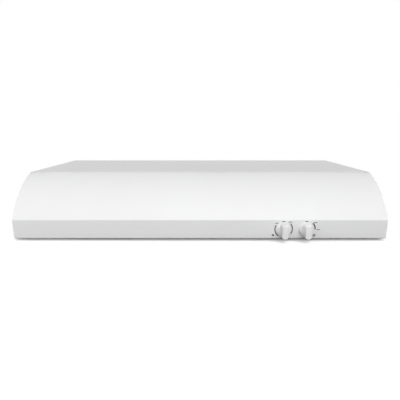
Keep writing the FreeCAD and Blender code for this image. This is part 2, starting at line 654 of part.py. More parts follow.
def bulb_base():
    """Screw cap of the bulb with its contact."""
    x, y, z = bulb_start(), LAMP_MID_Y, LAMP_MID_Z
    cap = rod((x + 3, y, z), (x + BULB_BASE_LENGTH, y, z), BULB_BASE_R)
    tip = Part.makeCone(5.0, BULB_BASE_R - 2, 3.0, Vector(x, y, z), Vector(1, 0, 0))
    return join([cap, tip])


def bulb_line(thin):
    """Half outline of the glass from neck to tip, moved in by thin, as edges and its two ends."""
    x, y, z = bulb_start() + BULB_BASE_LENGTH, LAMP_MID_Y, LAMP_MID_Z
    neck, ball = BULB_BASE_R - CLEAR - thin, BULB_R - thin
    ball_x = x + BULB_LENGTH - BULB_R
    shoulder = math.radians(120)

    def at(degrees_along):
        return Vector(ball_x + ball * math.cos(degrees_along), y + ball * math.sin(degrees_along), z)

    start, bend = Vector(x, y + neck, z), Vector(x + BULB_NECK, y + neck, z)
    edges = [Part.LineSegment(start, bend).toShape(),
             Part.LineSegment(bend, at(shoulder)).toShape(),
             Part.Arc(at(shoulder), at(shoulder / 2), at(0)).toShape()]
    return edges, start, at(0)


def bulb_glass():
    """Glass envelope, a thin wall turned about the lamp's axis and open at its neck."""
    outer, start, tip = bulb_line(0)
    inner, inner_start, inner_tip = bulb_line(BULB_GLASS)
    ends = [Part.LineSegment(tip, inner_tip).toShape(), Part.LineSegment(inner_start, start).toShape()]
    wire = Part.Wire(Part.__sortEdges__(outer + inner + ends))
    return Part.Face(wire).revolve(Vector(start.x, LAMP_MID_Y, LAMP_MID_Z), Vector(1, 0, 0), 360)


def lens_axis():
    """Hinge line of a lens, as (y, z)."""
    return LAMP_BACK_Y + LENS_LAP, PAN_Z - LENS_GAP - KNUCKLE_R


def lamp_lens():
    """Clear plastic lens: a shallow tray under the opening, hinged along its rear edge."""
    x0, x1 = lamp_span()
    y, z = lens_axis()
    left, right = x0 - LENS_LAP, x1 + LENS_LAP
    front = LAMP_FRONT_Y - LENS_LAP
    top = PAN_Z - LENS_GAP
    tray = plate(left, right, front, y, top - LENS_DROP, top, 3.0)
    hollow = plate(left + LENS_WALL, right - LENS_WALL, front + LENS_WALL, y - KNUCKLE_R - LENS_WALL,
                   top - LENS_DROP + LENS_WALL, top + 1, 2.0)
    knuckle = rod((left, y, z), (right, y, z), KNUCKLE_R)
    keep = box(left, right, front, y, top - LENS_DROP, top)
    pin = rod((left - CLEAR - LUG, y, z), (right + CLEAR + LUG, y, z), LENS_PIN_R)
    return join([tray.common(keep).cut(hollow), knuckle, pin])


# ================================================================ filters, right hand side
def filter_frame():
    """Folded channel round the mesh, with a pivot pin at each rear corner and a latch guide."""
    x0, x1, y0, y1 = FILTER_INNER, FILTER_OUTER, FILTER_FRONT_Y, FILTER_BACK_Y
    body = plate(x0, x1, y0, y1, FILTER_Z, FILTER_TOP, 3.0)
    r, s = FILTER_RIM, FILTER_SKIN
    body = body.cut(box(x0 + r, x1 - r, y0 + r, y1 - r, FILTER_Z - 1, FILTER_TOP + 1))
    body = body.cut(box(x0 + s, x1 - s, y0 + s, y1 - s, FILTER_Z + s, FILTER_TOP - s))
    pins = [rod((x0 + s / 2, PIVOT_Y, PIVOT_Z), (x0 - FILTER_PIN_LENGTH, PIVOT_Y, PIVOT_Z), FILTER_PIN_R),
            rod((x1 - s / 2, PIVOT_Y, PIVOT_Z), (x1 + FILTER_PIN_LENGTH, PIVOT_Y, PIVOT_Z), FILTER_PIN_R)]
    return join([body] + pins + [latch_guide()])


def latch_x():
    return (FILTER_INNER + FILTER_OUTER) / 2


def latch_guide():
    """Two small hooks under the front channel that the latch slides between."""
    x = latch_x()
    low = FILTER_Z - LATCH_PLATE - 2 * PIN_FIT - FILTER_SKIN
    y0, y1 = FILTER_FRONT_Y + 1, FILTER_FRONT_Y + FILTER_RIM - 1
    hooks = []
    for side in (-1, 1):
        edge = x + side * (LATCH_WIDTH / 2 + PIN_FIT)
        hooks.append(box(edge, edge + side * FILTER_SKIN, y0, y1, low, FILTER_Z))
        hooks.append(box(edge + side * FILTER_SKIN, edge - side * 2, y0, y1, low, low + FILTER_SKIN))
    return join(hooks[:2]).fuse(join(hooks[2:]))


def filter_latch():
    """Sliding latch: a tongue at the front, a finger edge at the rear."""
    x, half = latch_x(), LATCH_WIDTH / 2
    top = FILTER_Z - PIN_FIT
    reach = FILTER_FRONT_GAP - LATCH_SHORT
    y0, y1 = FILTER_FRONT_Y - reach, FILTER_FRONT_Y + LATCH_BACK
    strip = box(x - half, x + half, y0, y1, top - LATCH_PLATE, top)
    grip = box(x - half, x + half, y1 - LATCH_PLATE, y1, top - LATCH_GRIP, top)
    return join([strip, grip])


def filter_mesh():
    """Pleated core between two face sheets, held in the channel."""
    r, s, m = FILTER_SKIN, FILTER_SKIN + 0.1, MESH_SKIN
    x0, x1 = FILTER_INNER + r + 0.5, FILTER_OUTER - r - 0.5
    y0, y1 = FILTER_FRONT_Y + r + 0.5, FILTER_BACK_Y - r - 0.5
    low, high = FILTER_Z + s, FILTER_TOP - s
    sheets = [box(x0, x1, y0, y1, low, low + m), box(x0, x1, y0, y1, high - m, high)]
    count = int((x1 - x0 - 4) / MESH_PITCH)
    inner_low, inner_high = low + m, high - m
    step = (x1 - x0 - 4) / count
    upper, lower = [], []
    for i in range(2 * count + 1):
        x = x0 + 2 + i * step / 2
        z = inner_high - m if i % 2 else inner_low
        lower.append(Vector(x, y0, z))
        upper.append(Vector(x, y0, z + m))
    ring = lower + upper[::-1]
    core = Part.Face(Part.makePolygon(ring + ring[:1])).extrude(Vector(0, y1 - y0, 0))
    return Part.makeCompound(sheets + [core])


# ================================================================ blower
def spiral(z):
    """Inner outline of the scroll in plan, from its near wall round to its far wall, with the outlet open."""
    h, s, r1 = SCROLL_STEP / 2, SCROLL_STEP, SCROLL_R1
    arcs = [((-h, -h), r1, 90), ((h, -h), r1 + s, 180), ((h, h), r1 + 2 * s, 270)]

    def at(centre, radius, degrees):
        angle = math.radians(degrees)
        return Vector(BLOWER_X + centre[0] + radius * math.cos(angle),
                      BLOWER_Y + centre[1] + radius * math.sin(angle), z)

    left, right = BLOWER_X + SCROLL_LEFT, BLOWER_X + SCROLL_RIGHT
    edges = [Part.LineSegment(Vector(left, OUTLET_Y, z), at(*arcs[0])).toShape()]
    for centre, radius, start in arcs:
        edges.append(Part.Arc(at(centre, radius, start), at(centre, radius, start + 45),
                              at(centre, radius, start + 90)).toShape())
    edges.append(Part.LineSegment(at(arcs[2][0], arcs[2][1], 360), Vector(right, OUTLET_Y, z)).toShape())
    edges.append(Part.LineSegment(Vector(right, OUTLET_Y, z), Vector(left, OUTLET_Y, z)).toShape())
    return Part.Wire(edges)


def scroll_blank(grow, z0, z1):
    """The scroll's plan, grown all round and cut off square at the outlet."""
    wire = spiral(z0)
    if grow:
        wire = wire.makeOffset2D(grow, join=2)
    body = Part.Face(wire).extrude(Vector(0, 0, z1 - z0))
    return body.cut(box(-HALF, HALF, OUTLET_Y, BACK_Y, z0 - 1, z1 + 1))


def scroll_wall():
    """Spiral wall between the scroll's two plates."""
    low, high = SCROLL_BOTTOM + SHEET, SCROLL_TOP - SHEET
    hollow = Part.Face(spiral(low - 1)).extrude(Vector(0, 0, high - low + 2))
    return scroll_blank(SHEET, low, high).cut(hollow)


def standoff_places():
    """Points on the scroll's flange that hang it from the top panel."""
    h, s = SCROLL_STEP / 2, SCROLL_STEP
    out = SHEET + (SCROLL_FLANGE - SHEET) / 2
    places = []
    for centre, radius, degrees in (((-h, -h), SCROLL_R1, 135), ((h, -h), SCROLL_R1 + s, 225),
                                    ((h, h), SCROLL_R1 + 2 * s, 315)):
        angle = math.radians(degrees)
        places.append((BLOWER_X + centre[0] + (radius + out) * math.cos(angle),
                       BLOWER_Y + centre[1] + (radius + out) * math.sin(angle)))
    places.append((BLOWER_X + SCROLL_RIGHT + out, BLOWER_Y + OUTLET_REACH / 2))
    return places


def scroll_top():
    """Top plate of the scroll, with its hanging holes."""
    body = scroll_blank(SCROLL_FLANGE, SCROLL_TOP - SHEET, SCROLL_TOP)
    for x, y in standoff_places():
        body = body.cut(rod((x, y, SCROLL_TOP - 2), (x, y, SCROLL_TOP + 1), SHANK_R + HOLE_FIT))
    return body


def arm_places():
    return [(BLOWER_X + ARM_REACH * math.cos(math.radians(a)),
             BLOWER_Y + ARM_REACH * math.sin(math.radians(a))) for a in ARM_ANGLES]


def scroll_inlet():
    """Bottom plate of the scroll, with its inlet ring turned inward and the motor bracket's holes."""
    body = scroll_blank(SCROLL_FLANGE, SCROLL_BOTTOM, SCROLL_BOTTOM + SHEET)
    x, y = BLOWER_X, BLOWER_Y
    ring = tube((x, y, SCROLL_BOTTOM), (x, y, SCROLL_BOTTOM + INLET_LIP), INLET_R + SHEET, INLET_R)
    body = body.cut(rod((x, y, SCROLL_BOTTOM - 1), (x, y, SCROLL_BOTTOM + 2), INLET_R))
    body = join([body, ring])
    for hx, hy in arm_places():
        body = body.cut(rod((hx, hy, SCROLL_BOTTOM - 1), (hx, hy, SCROLL_BOTTOM + 2), SHANK_R + HOLE_FIT))
    return body


def scroll_standoffs():
    """Spacers between the top panel and the scroll."""
    return Part.makeCompound([
        tube((x, y, SCROLL_TOP), (x, y, -SHEET), STANDOFF_R, SHANK_R + HOLE_FIT) for x, y in standoff_places()
    ])


def blower_wheel():
    """Centrifugal wheel: top plate with a hub, curved blades and a ring round the open end."""
    x, y = BLOWER_X, BLOWER_Y
    disc = rod((x, y, WHEEL_TOP - WHEEL_PLATE), (x, y, WHEEL_TOP), WHEEL_R)
    hub = rod((x, y, WHEEL_TOP - WHEEL_PLATE - HUB_HEIGHT), (x, y, WHEEL_TOP), HUB_R)
    ring = tube((x, y, WHEEL_BOTTOM), (x, y, WHEEL_BOTTOM + WHEEL_RING), WHEEL_R, WHEEL_R - BLADE_DEPTH / 4)
    inner, outer = WHEEL_R - BLADE_DEPTH, WHEEL_R - 0.4
    lean = math.radians(BLADE_LEAN / 4)
    start = Vector(inner, 0, 0)
    end = Vector(outer * math.cos(lean), outer * math.sin(lean), 0)
    chord = end - start
    bow = Vector(-chord.y, chord.x, 0).normalize() * (-0.16 * chord.Length)
    middle = (start + end) * 0.5 + bow
    across_blade = Vector(-chord.y, chord.x, 0).normalize() * BLADE_THICK
    front = Part.Arc(start, middle, end).toShape()
    rear = Part.Arc(end + across_blade, middle + across_blade, start + across_blade).toShape()
    caps = [Part.LineSegment(end, end + across_blade).toShape(),
            Part.LineSegment(start + across_blade, start).toShape()]
    section = Part.Face(Part.Wire([front, caps[0], rear, caps[1]]))
    blade = section.extrude(Vector(0, 0, WHEEL_HEIGHT - WHEEL_PLATE))
    blade.translate(Vector(x, y, WHEEL_BOTTOM))
    blades = []
    for i in range(BLADES):
        one = blade.copy()
        one.rotate(Vector(x, y, 0), Vector(0, 0, 1), 360.0 * i / BLADES)
        blades.append(one)
    body = disc.multiFuse([hub, ring] + blades)
    return body.cut(rod((x, y, WHEEL_BOTTOM), (x, y, WHEEL_TOP + 1), AXLE_R))


# ================================================================ motor
def motor_rod(z0, z1, radius):
    return rod((BLOWER_X, BLOWER_Y, z0), (BLOWER_X, BLOWER_Y, z1), radius)


def motor_tube(z0, z1, outer, inner):
    return tube((BLOWER_X, BLOWER_Y, z0), (BLOWER_X, BLOWER_Y, z1), outer, inner)


def bolt_places():
    reach = MOTOR_R - STATOR_YOKE / 2
    return [(BLOWER_X + reach * math.cos(math.radians(a)),
             BLOWER_Y + reach * math.sin(math.radians(a))) for a in BOLT_ANGLES]


def bolt_holes(body):
    for x, y in bolt_places():
        body = body.cut(rod((x, y, BRACKET_TOP - 10), (x, y, MOTOR_TOP + 1), BOLT_R + HOLE_FIT))
    return body


def motor_shaft():
    return motor_rod(BRACKET_TOP + BELL_WALL, WHEEL_TOP + 1, AXLE_R)


def motor_rotor():
    """Laminated rotor, pressed on the shaft."""
    body = motor_tube(STACK_Z, UPPER_BELL_Z, ROTOR_R, AXLE_R)
    rim = [e for e in body.Edges if abs(e.Length - 2 * math.pi * ROTOR_R) < 0.01]
    return body.makeFillet(1.0, rim)


def motor_stator():
    """Laminated stack: a round yoke with teeth that reach in to the bore."""
    yoke = motor_tube(STACK_Z, UPPER_BELL_Z, MOTOR_R, MOTOR_R - STATOR_YOKE)
    teeth = []
    for i in range(TEETH):
        tooth = box(STATOR_BORE_R - 2, MOTOR_R - STATOR_YOKE + 1, -TOOTH_WIDTH / 2, TOOTH_WIDTH / 2,
                    STACK_Z, UPPER_BELL_Z)
        tooth.rotate(Vector(0, 0, 0), Vector(0, 0, 1), 360.0 * i / TEETH)
        tooth.translate(Vector(BLOWER_X, BLOWER_Y, 0))
        teeth.append(tooth)
    body = join([yoke] + teeth)
    return bolt_holes(body.cut(motor_rod(STACK_Z - 1, UPPER_BELL_Z + 1, STATOR_BORE_R)))


def motor_windings():
    """Copper end turns above and below the stack, with the bundles through its slots."""
    inner = STATOR_BORE_R + COIL_GAP
    outer = MOTOR_R - STATOR_YOKE - COIL_GAP
    turns = [motor_tube(UPPER_BELL_Z, UPPER_BELL_Z + COIL_HEIGHT, outer, inner),
             motor_tube(STACK_Z - COIL_HEIGHT, STACK_Z, outer, inner)]
    middle = (inner + outer) / 2
    for i in range(TEETH):
        angle = math.radians(360.0 * (i + 0.5) / TEETH)
        x, y = BLOWER_X + middle * math.cos(angle), BLOWER_Y + middle * math.sin(angle)
        turns.append(rod((x, y, STACK_Z), (x, y, UPPER_BELL_Z), COIL_R))
    return join(turns)


def motor_bell(upper):
    """End bracket of the motor: a cup with vents, and a seat for its bush."""
    z0, z1 = (UPPER_BELL_Z, MOTOR_TOP) if upper else (BRACKET_TOP, STACK_Z)
    body = motor_rod(z0, z1, MOTOR_R)
    wall = (z1 - BELL_WALL, z1) if upper else (z0, z0 + BELL_WALL)
    inside = (z0 - 1, wall[0]) if upper else (wall[1], z1 + 1)
    hollow = motor_rod(inside[0], inside[1], MOTOR_R - STATOR_YOKE)
    body = body.cut(hollow)
    for i in range(TEETH):
        vent = motor_rod(wall[0] - 1, wall[1] + 1, VENT_R)
        angle = math.radians(360.0 * i / TEETH)
        vent.translate(Vector(VENT_REACH * math.cos(angle), VENT_REACH * math.sin(angle), 0))
        body = body.cut(vent)
    seat = (wall[0] - BUSH_LENGTH, wall[1]) if upper else (wall[0], wall[1] + BUSH_LENGTH)
    body = join([body, motor_rod(seat[0], seat[1], BUSH_R + 2)])
    return bolt_holes(body.cut(motor_rod(z0 - 1, z1 + 1, BUSH_R)))


def motor_bushes():
    """Sintered bushes in the two end brackets."""
    upper = motor_tube(MOTOR_TOP - BELL_WALL - BUSH_LENGTH, MOTOR_TOP, BUSH_R, AXLE_R + AXLE_FIT)
    lower = motor_tube(BRACKET_TOP, BRACKET_TOP + BELL_WALL + BUSH_LENGTH, BUSH_R, AXLE_R + AXLE_FIT)
    return Part.makeCompound([upper, lower])


def motor_bracket():
    """Three armed bracket that holds the motor under the scroll's inlet."""
    low = BRACKET_TOP - BRACKET_PLATE
    ring = motor_tube(low, BRACKET_TOP, MOTOR_R, MOTOR_R - STATOR_YOKE - 4)
    arms = []
    for a in ARM_ANGLES:
        arm = box(MOTOR_R - STATOR_YOKE, ARM_REACH, -ARM_WIDTH / 2, ARM_WIDTH / 2, low, BRACKET_TOP)
        arm = arm.fuse(rod((ARM_REACH, 0, low), (ARM_REACH, 0, BRACKET_TOP), ARM_WIDTH / 2))
        arm.rotate(Vector(0, 0, 0), Vector(0, 0, 1), a)
        arm.translate(Vector(BLOWER_X, BLOWER_Y, 0))
        arms.append(arm)
    body = bolt_holes(join([ring] + arms))
    for x, y in arm_places():
        body = body.cut(rod((x, y, low - 1), (x, y, BRACKET_TOP + 1), SHANK_R + HOLE_FIT))
    return body


def motor_grommets():
    """Rubber mounts between the bracket's arms and the scroll."""
    return Part.makeCompound([
        tube((x, y, BRACKET_TOP), (x, y, SCROLL_BOTTOM), MOUNT_GROMMET_R, SHANK_R + HOLE_FIT)
        for x, y in arm_places()
    ])


# ================================================================ duct and damper
def duct_section(half_w, half_h, y, x=0.0):
    ring = [Vector(x - half_w, y, OUTLET_Z - half_h), Vector(x + half_w, y, OUTLET_Z - half_h),
            Vector(x + half_w, y, OUTLET_Z + half_h), Vector(x - half_w, y, OUTLET_Z + half_h)]
    return Part.makePolygon(ring + ring[:1])


def transition_duct():
    """Tapered duct from the scroll's outlet to the opening in the back."""
    near_w, near_h = (SCROLL_RIGHT - SCROLL_LEFT) / 2, SCROLL_HEIGHT / 2 - SHEET
    far_w, far_h = DUCT_WIDTH / 2 - DUCT_WALL, DUCT_HEIGHT / 2 - DUCT_WALL
    outer = Part.makeLoft([duct_section(near_w + SHEET, near_h + SHEET, OUTLET_Y),
                           duct_section(far_w + SHEET, far_h + SHEET, BACK_IN)], True, True)
    inner = Part.makeLoft([duct_section(near_w, near_h, OUTLET_Y),
                           duct_section(far_w, far_h, BACK_IN)], True, True)
    return outer.cut(inner)


def collar_holes():
    """Screw holes in the collar's flange, as (x, z)."""
    x = DUCT_WIDTH / 2 + DUCT_FLANGE / 2
    return [(sx * x, OUTLET_Z + sz * DUCT_HEIGHT / 4) for sx in (-1, 1) for sz in (-1, 1)]


def damper_axis():
    """Hinge line of the damper flap, as (y, z)."""
    return BACK_Y + DUCT_WALL + DAMPER_PIN_DROP, OUTLET_Z + DUCT_HEIGHT / 2 - DUCT_WALL - DAMPER_PIN_DROP


def damper_collar():
    """Rectangular spigot with a flange against the back, and a stop lip for the flap."""
    w, h, f, t = DUCT_WIDTH / 2, DUCT_HEIGHT / 2, DUCT_FLANGE, DUCT_WALL
    spigot = box(-w, w, BACK_Y, BACK_Y + DUCT_LENGTH, OUTLET_Z - h, OUTLET_Z + h)
    flange = box(-w - f, w + f, BACK_Y, BACK_Y + t, OUTLET_Z - h - f, OUTLET_Z + h + f)
    body = join([spigot, flange])
    passage = box(-w + t, w - t, BACK_Y - 1, BACK_Y + DUCT_LENGTH + 1, OUTLET_Z - h + t, OUTLET_Z + h - t)
    body = body.cut(passage)
    y, z = damper_axis()
    lip_back = y - DAMPER_PLATE / 2 - CLEAR
    floor_z = OUTLET_Z - h
    lip = box(-w + t / 2, w - t / 2, lip_back - t, lip_back, floor_z + t / 2, floor_z + t + DAMPER_STOP)
    body = join([body, lip])
    body = body.cut(rod((-w - 1, y, z), (w + 1, y, z), DAMPER_PIN_R + PIN_FIT))
    for x, hz in collar_holes():
        body = body.cut(rod((x, BACK_Y - 1, hz), (x, BACK_Y + t + 1, hz), SHANK_R + HOLE_FIT))
    return body


def damper_flap():
    """Back draught flap: a light plate rolled round its hinge pin at the top."""
    y, z = damper_axis()
    half = DUCT_WIDTH / 2 - DUCT_WALL - DAMPER_SIDE
    low = OUTLET_Z - DUCT_HEIGHT / 2 + DUCT_WALL + CLEAR * 3
    leaf = box(-half, half, y - DAMPER_PLATE / 2, y + DAMPER_PLATE / 2, low, z)
    knuckle = rod((-half, y, z), (half, y, z), DAMPER_PIN_R + DAMPER_PLATE)
    rear, fold = y + DAMPER_PLATE / 2, half - DAMPER_FOLD_INSET
    stiffener = box(-fold, fold, rear, rear + DAMPER_FOLD, low, low + DAMPER_PLATE)
    body = join([leaf, knuckle, stiffener])
    return body.cut(rod((-half - 1, y, z), (half + 1, y, z), DAMPER_PIN_R))


def damper_pin():
    y, z = damper_axis()
    half = DUCT_WIDTH / 2 + 2
    return rod((-half, y, z), (half, y, z), DAMPER_PIN_R)


# ================================================================ wiring
def wiring_cover():
    """Sheet cover over the mains connections, in the rear right corner under the top."""
    x0, x1 = COVER_LEFT, COVER_RIGHT
    y0, y1 = BACK_Y - FLANGE - COVER_DEPTH, BACK_Y - FLANGE
    z0, z1 = -SHEET - COVER_DROP, -SHEET
    room = box(x0 + SHEET, x1 - SHEET, y0 + SHEET, y1 + 1, z0 + SHEET, z1 + 1)
    body = box(x0, x1, y0, y1, z0, z1).cut(room)
    flange = box(x0, x1, y0 - COVER_FLANGE, y0 + SHEET, z1 - SHEET, z1)
    body = join([body, flange])
    screw_y = y0 - COVER_FLANGE / 2
    for x in cover_screws():
        body = body.cut(rod((x, screw_y, z1 - 2), (x, screw_y, z1 + 1), SHANK_R + HOLE_FIT))
    supply, lead = Vector(*supply_start()), Vector(*motor_lead_start())
    body = body.cut(rod(supply, supply + Vector(0, 3, 0), SUPPLY_R + HOLE_FIT))
    return body.cut(rod(lead, lead + Vector(3, 0, 0), LEAD_R + HOLE_FIT))


def cover_screws():
    return [COVER_LEFT + COVER_SCREW_INSET, COVER_RIGHT - COVER_SCREW_INSET]


def supply_start():
    """Where the switch cable leaves the wiring cover's front wall."""
    return (GROMMET_X, BACK_Y - FLANGE - COVER_DEPTH, -SHEET - COVER_DROP / 2)


def motor_lead_start():
    """Where the motor lead leaves the wiring cover's left wall."""
    return (COVER_LEFT, BACK_Y - FLANGE - COVER_DEPTH / 2, -SHEET - COVER_DROP * 0.75)


def grommet():
    """Rubber ring where the switch cable passes the upright wall."""
    y, z = PARTITION_Y, -GROMMET_DROP
    sleeve = rod((GROMMET_X, y - 1.5, z), (GROMMET_X, y + SHEET + 1.5, z), GROMMET_R)
    lips = [rod((GROMMET_X, y - 3.0, z), (GROMMET_X, y, z), GROMMET_R + 2),
            rod((GROMMET_X, y + SHEET, z), (GROMMET_X, y + SHEET + 3.0, z), GROMMET_R + 2)]
    body = join([sleeve] + lips)
    return body.cut(rod((GROMMET_X, y - 5, z), (GROMMET_X, y + 5, z), SUPPLY_R + GROMMET_FIT))


def switch_top(x):
    """Middle of the upper side of a switch's case."""
    angle = math.radians(CHIN_ANGLE)
    y, z = chin_point()
    depth, up = SHEET + SWITCH_DEPTH / 2, SWITCH_SIZE / 2
    return Vector(x, y + depth * math.cos(angle) - up * math.sin(angle),
                  z + depth * math.sin(angle) + up * math.cos(angle))


def chin_rise():
    """Direction straight up the chin."""
    angle = math.radians(CHIN_ANGLE)
    return Vector(0, -math.sin(angle), math.cos(angle))


def switch_cable():
    """Cable from the wiring cover, through the grommet, to the top of the light switch."""
    top = switch_top(LIGHT_KNOB_X + 6)
    y0 = supply_start()[1]
    return cable([
        supply_start(), (GROMMET_X, y0 - 50, supply_start()[2]), (GROMMET_X, 0, -46), (GROMMET_X, -90, -52),
        (GROMMET_X, PARTITION_Y + 28, -GROMMET_DROP), (GROMMET_X, PARTITION_Y - 26, -GROMMET_DROP),
        (GROMMET_X * 0.7 + top.x * 0.3, PARTITION_Y - 50, -72),
        (GROMMET_X * 0.3 + top.x * 0.7, LAMP_FRONT_Y + 6, -78),
        top + chin_rise() * 26 + Vector(0, 8, 0),
        top + chin_rise() * 8, top,
    ], SUPPLY_R)


def switch_link():
    """Short lead between the two switches."""
    a, b = switch_top(LIGHT_KNOB_X - 7), switch_top(FAN_KNOB_X + 7)
    rise = chin_rise() * 12
    return cable([a, a + rise, b + rise, b], LEAD_R)


def gland_point():
    """Face of the gland on the motor's lower end bracket."""
    return (BLOWER_X + MOTOR_R + GLAND_LENGTH, BLOWER_Y, BRACKET_TOP + GLAND_R)


def motor_gland():
    """Rubber gland on the side of the motor's lower end bracket."""
    x, y, z = gland_point()
    body = rod((BLOWER_X + MOTOR_R - 5, y, z), (x, y, z), GLAND_R)
    return body.cut(motor_rod(BRACKET_TOP - 5, STACK_Z + 5, MOTOR_R))


def motor_lead():
    """Lead from the wiring cover down past the scroll to the motor."""
    x, y, z = motor_lead_start()
    gx, gy, gz = gland_point()
    return cable([
        (x, y, z), (x - 34, y - 2, z), (x - 64, y - 14, z - 24), (x - 92, y - 34, gz - 4),
        (x - 140, y - 66, gz - 12), (x - 190, gy + 26, gz - 12), (gx + 34, gy, gz), (gx, gy, gz),
    ], LEAD_R)


def lamp_entry(side):
    x0, _ = lamp_span()
    return (side * (x0 - LAMP_SHEET), LAMP_MID_Y, LAMP_MID_Z)


def lamp_lead_right():
    """Lead from the left side of the fan switch back to the right hand lamp holder."""
    top = switch_top(FAN_KNOB_X)
    start = top - chin_rise() * (SWITCH_SIZE / 2) - Vector(SWITCH_SIZE / 2, 0, 0)
    x, y, z = lamp_entry(1)
    return cable([
        start, start - Vector(24, 0, 0), (x - 20, LAMP_FRONT_Y + 2, z - 5), (x - 26, y - 4, z), (x, y, z),
    ], LEAD_R)


def lamp_lead_left():
    """Lead that crosses behind the chin to the left hand lamp holder."""
    start = switch_top(FAN_KNOB_X - 5)
    x, y, z = lamp_entry(-1)
    first = start + chin_rise() * 16
    ahead = first.y + 4
    return cable([
        start, first, (first.x - 40, ahead, first.z), (first.x - 96, ahead + 10, first.z - 4),
        (44, ahead + 16, z + 8), (-20, ahead + 20, z + 4), (-76, ahead + 24, z + 2),
        (x + 30, y, z), (x, y, z),
    ], LEAD_R)


def lamp_leads():
    return Part.makeCompound([lamp_lead_left(), lamp_lead_right()])


# ================================================================ screws
def pan_screw(x, y, z, way, length):
    return screw((x, y, z), way, HEAD_R, HEAD_HEIGHT, SHANK_R, length)


def blower_screws():
    """Screws up through the scroll's flange into the standoffs."""
    low, length = SCROLL_TOP - SHEET, BLOWER_TOP - 1
    return Part.makeCompound([pan_screw(x, y, low, (0, 0, 1), length) for x, y in standoff_places()])


def bracket_screws():
    """Screws up through the motor bracket and its rubber mounts into the scroll."""
    low = BRACKET_TOP - BRACKET_PLATE
    length = BRACKET_PLATE + GROMMET_HEIGHT + SHEET + 1.5
    return Part.makeCompound([pan_screw(x, y, low, (0, 0, 1), length) for x, y in arm_places()])


def motor_bolts():
    """Long bolts that clamp the end brackets on the stack."""
    low = BRACKET_TOP - BRACKET_PLATE
    length = MOTOR_TOP - low + 2
    return Part.makeCompound([
        screw((x, y, low), (0, 0, 1), BOLT_R * 1.8, HEAD_HEIGHT, BOLT_R, length) for x, y in bolt_places()
    ])


def collar_screws():
    """Screws through the collar's flange into the back panel."""
    return Part.makeCompound([
        pan_screw(x, BACK_Y + DUCT_WALL, z, (0, -1, 0), DUCT_WALL + SHEET + 4) for x, z in collar_holes()
    ])


def wiring_screws():
    """Screws that hold the wiring cover up under the top panel."""
    y = BACK_Y - FLANGE - COVER_DEPTH - COVER_FLANGE / 2
    return Part.makeCompound([
        pan_screw(x, y, -2 * SHEET, (0, 0, 1), SHEET) for x in cover_screws()
    ])


def ground_point():
    """Where the earth screw enters the back panel."""
    return POWER_X - 30, BACK_IN, -POWER_DROP


def ground_screw():
    """Green earth screw, on the back panel inside the wiring cover."""
    return pan_screw(*ground_point(), (0, 1, 0), SHEET)


# ================================================================ the parts
def pair(build):
    """A right hand piece and its mirror image."""
    right = build()
    return {"left": mirrored(right), "right": right}


def all_parts():
    parts = {
        "front_panel": front_panel(),
        "top_panel": top_panel(),
        "back_panel": back_panel(),
        "lamp_panel": lamp_panel(),
        "filter_rail": filter_rail(),
        "scroll_wall": scroll_wall(),
        "scroll_top_plate": scroll_top(),
        "scroll_inlet_plate": scroll_inlet(),
        "scroll_standoffs": scroll_standoffs(),
        "blower_wheel": blower_wheel(),
        "motor_shaft": motor_shaft(),
        "motor_rotor": motor_rotor(),
        "motor_stator": motor_stator(),
        "motor_windings": motor_windings(),
        "motor_upper_bell": motor_bell(True),
        "motor_lower_bell": motor_bell(False),
        "motor_bushes": motor_bushes(),
        "motor_bracket": motor_bracket(),
        "motor_rubber_mounts": motor_grommets(),
        "motor_gland": motor_gland(),
        "transition_duct": transition_duct(),
        "damper_collar": damper_collar(),
        "damper_flap": damper_flap(),
        "damper_pin": damper_pin(),
        "wiring_cover": wiring_cover(),
        "wiring_grommet": grommet(),
        "switch_cable": switch_cable(),
        "switch_link": switch_link(),
        "motor_lead": motor_lead(),
        "lamp_leads": lamp_leads(),
        "ground_screw": ground_screw(),
        "blower_screws": blower_screws(),
        "bracket_screws": bracket_screws(),
        "motor_bolts": motor_bolts(),
        "collar_screws": collar_screws(),
        "wiring_screws": wiring_screws(),
    }
    twins = {"lamp_sockets": lamp_socket, "bulb_glasses": bulb_glass, "bulb_caps": bulb_base}
    for name, build in twins.items():
        parts[name] = Part.makeCompound(list(pair(build).values()))
    handed = {
        "side_panel": side_panel,
        "lamp_housing": lamp_housing,
        "lamp_lens": lamp_lens,
        "filter_frame": filter_frame,
        "filter_mesh": filter_mesh,
        "filter_latch": filter_latch,
    }
    for name, build in handed.items():
        for side, shape in pair(build).items():
            parts[name + "_" + side] = shape
    nuts = []
    for name, x in (("fan", FAN_KNOB_X), ("light", LIGHT_KNOB_X)):
        parts[name + "_knob"] = on_chin(knob(), x)
        parts[name + "_knob_clip"] = on_chin(knob_clip(), x)
        parts[name + "_switch"] = on_chin(switch_body(), x)
        parts[name + "_switch_shaft"] = on_chin(switch_shaft(), x)
        nuts.append(on_chin(switch_nut(), x))
    parts["switch_nuts"] = Part.makeCompound(nuts)
    return parts


def main():
    os.makedirs("parts", exist_ok=True)
    for name, shape in all_parts().items():
        shape.exportStep("parts/" + name + ".step")


main()
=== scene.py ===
import json
import math

import bmesh
import bpy
from mathutils import Matrix, Vector


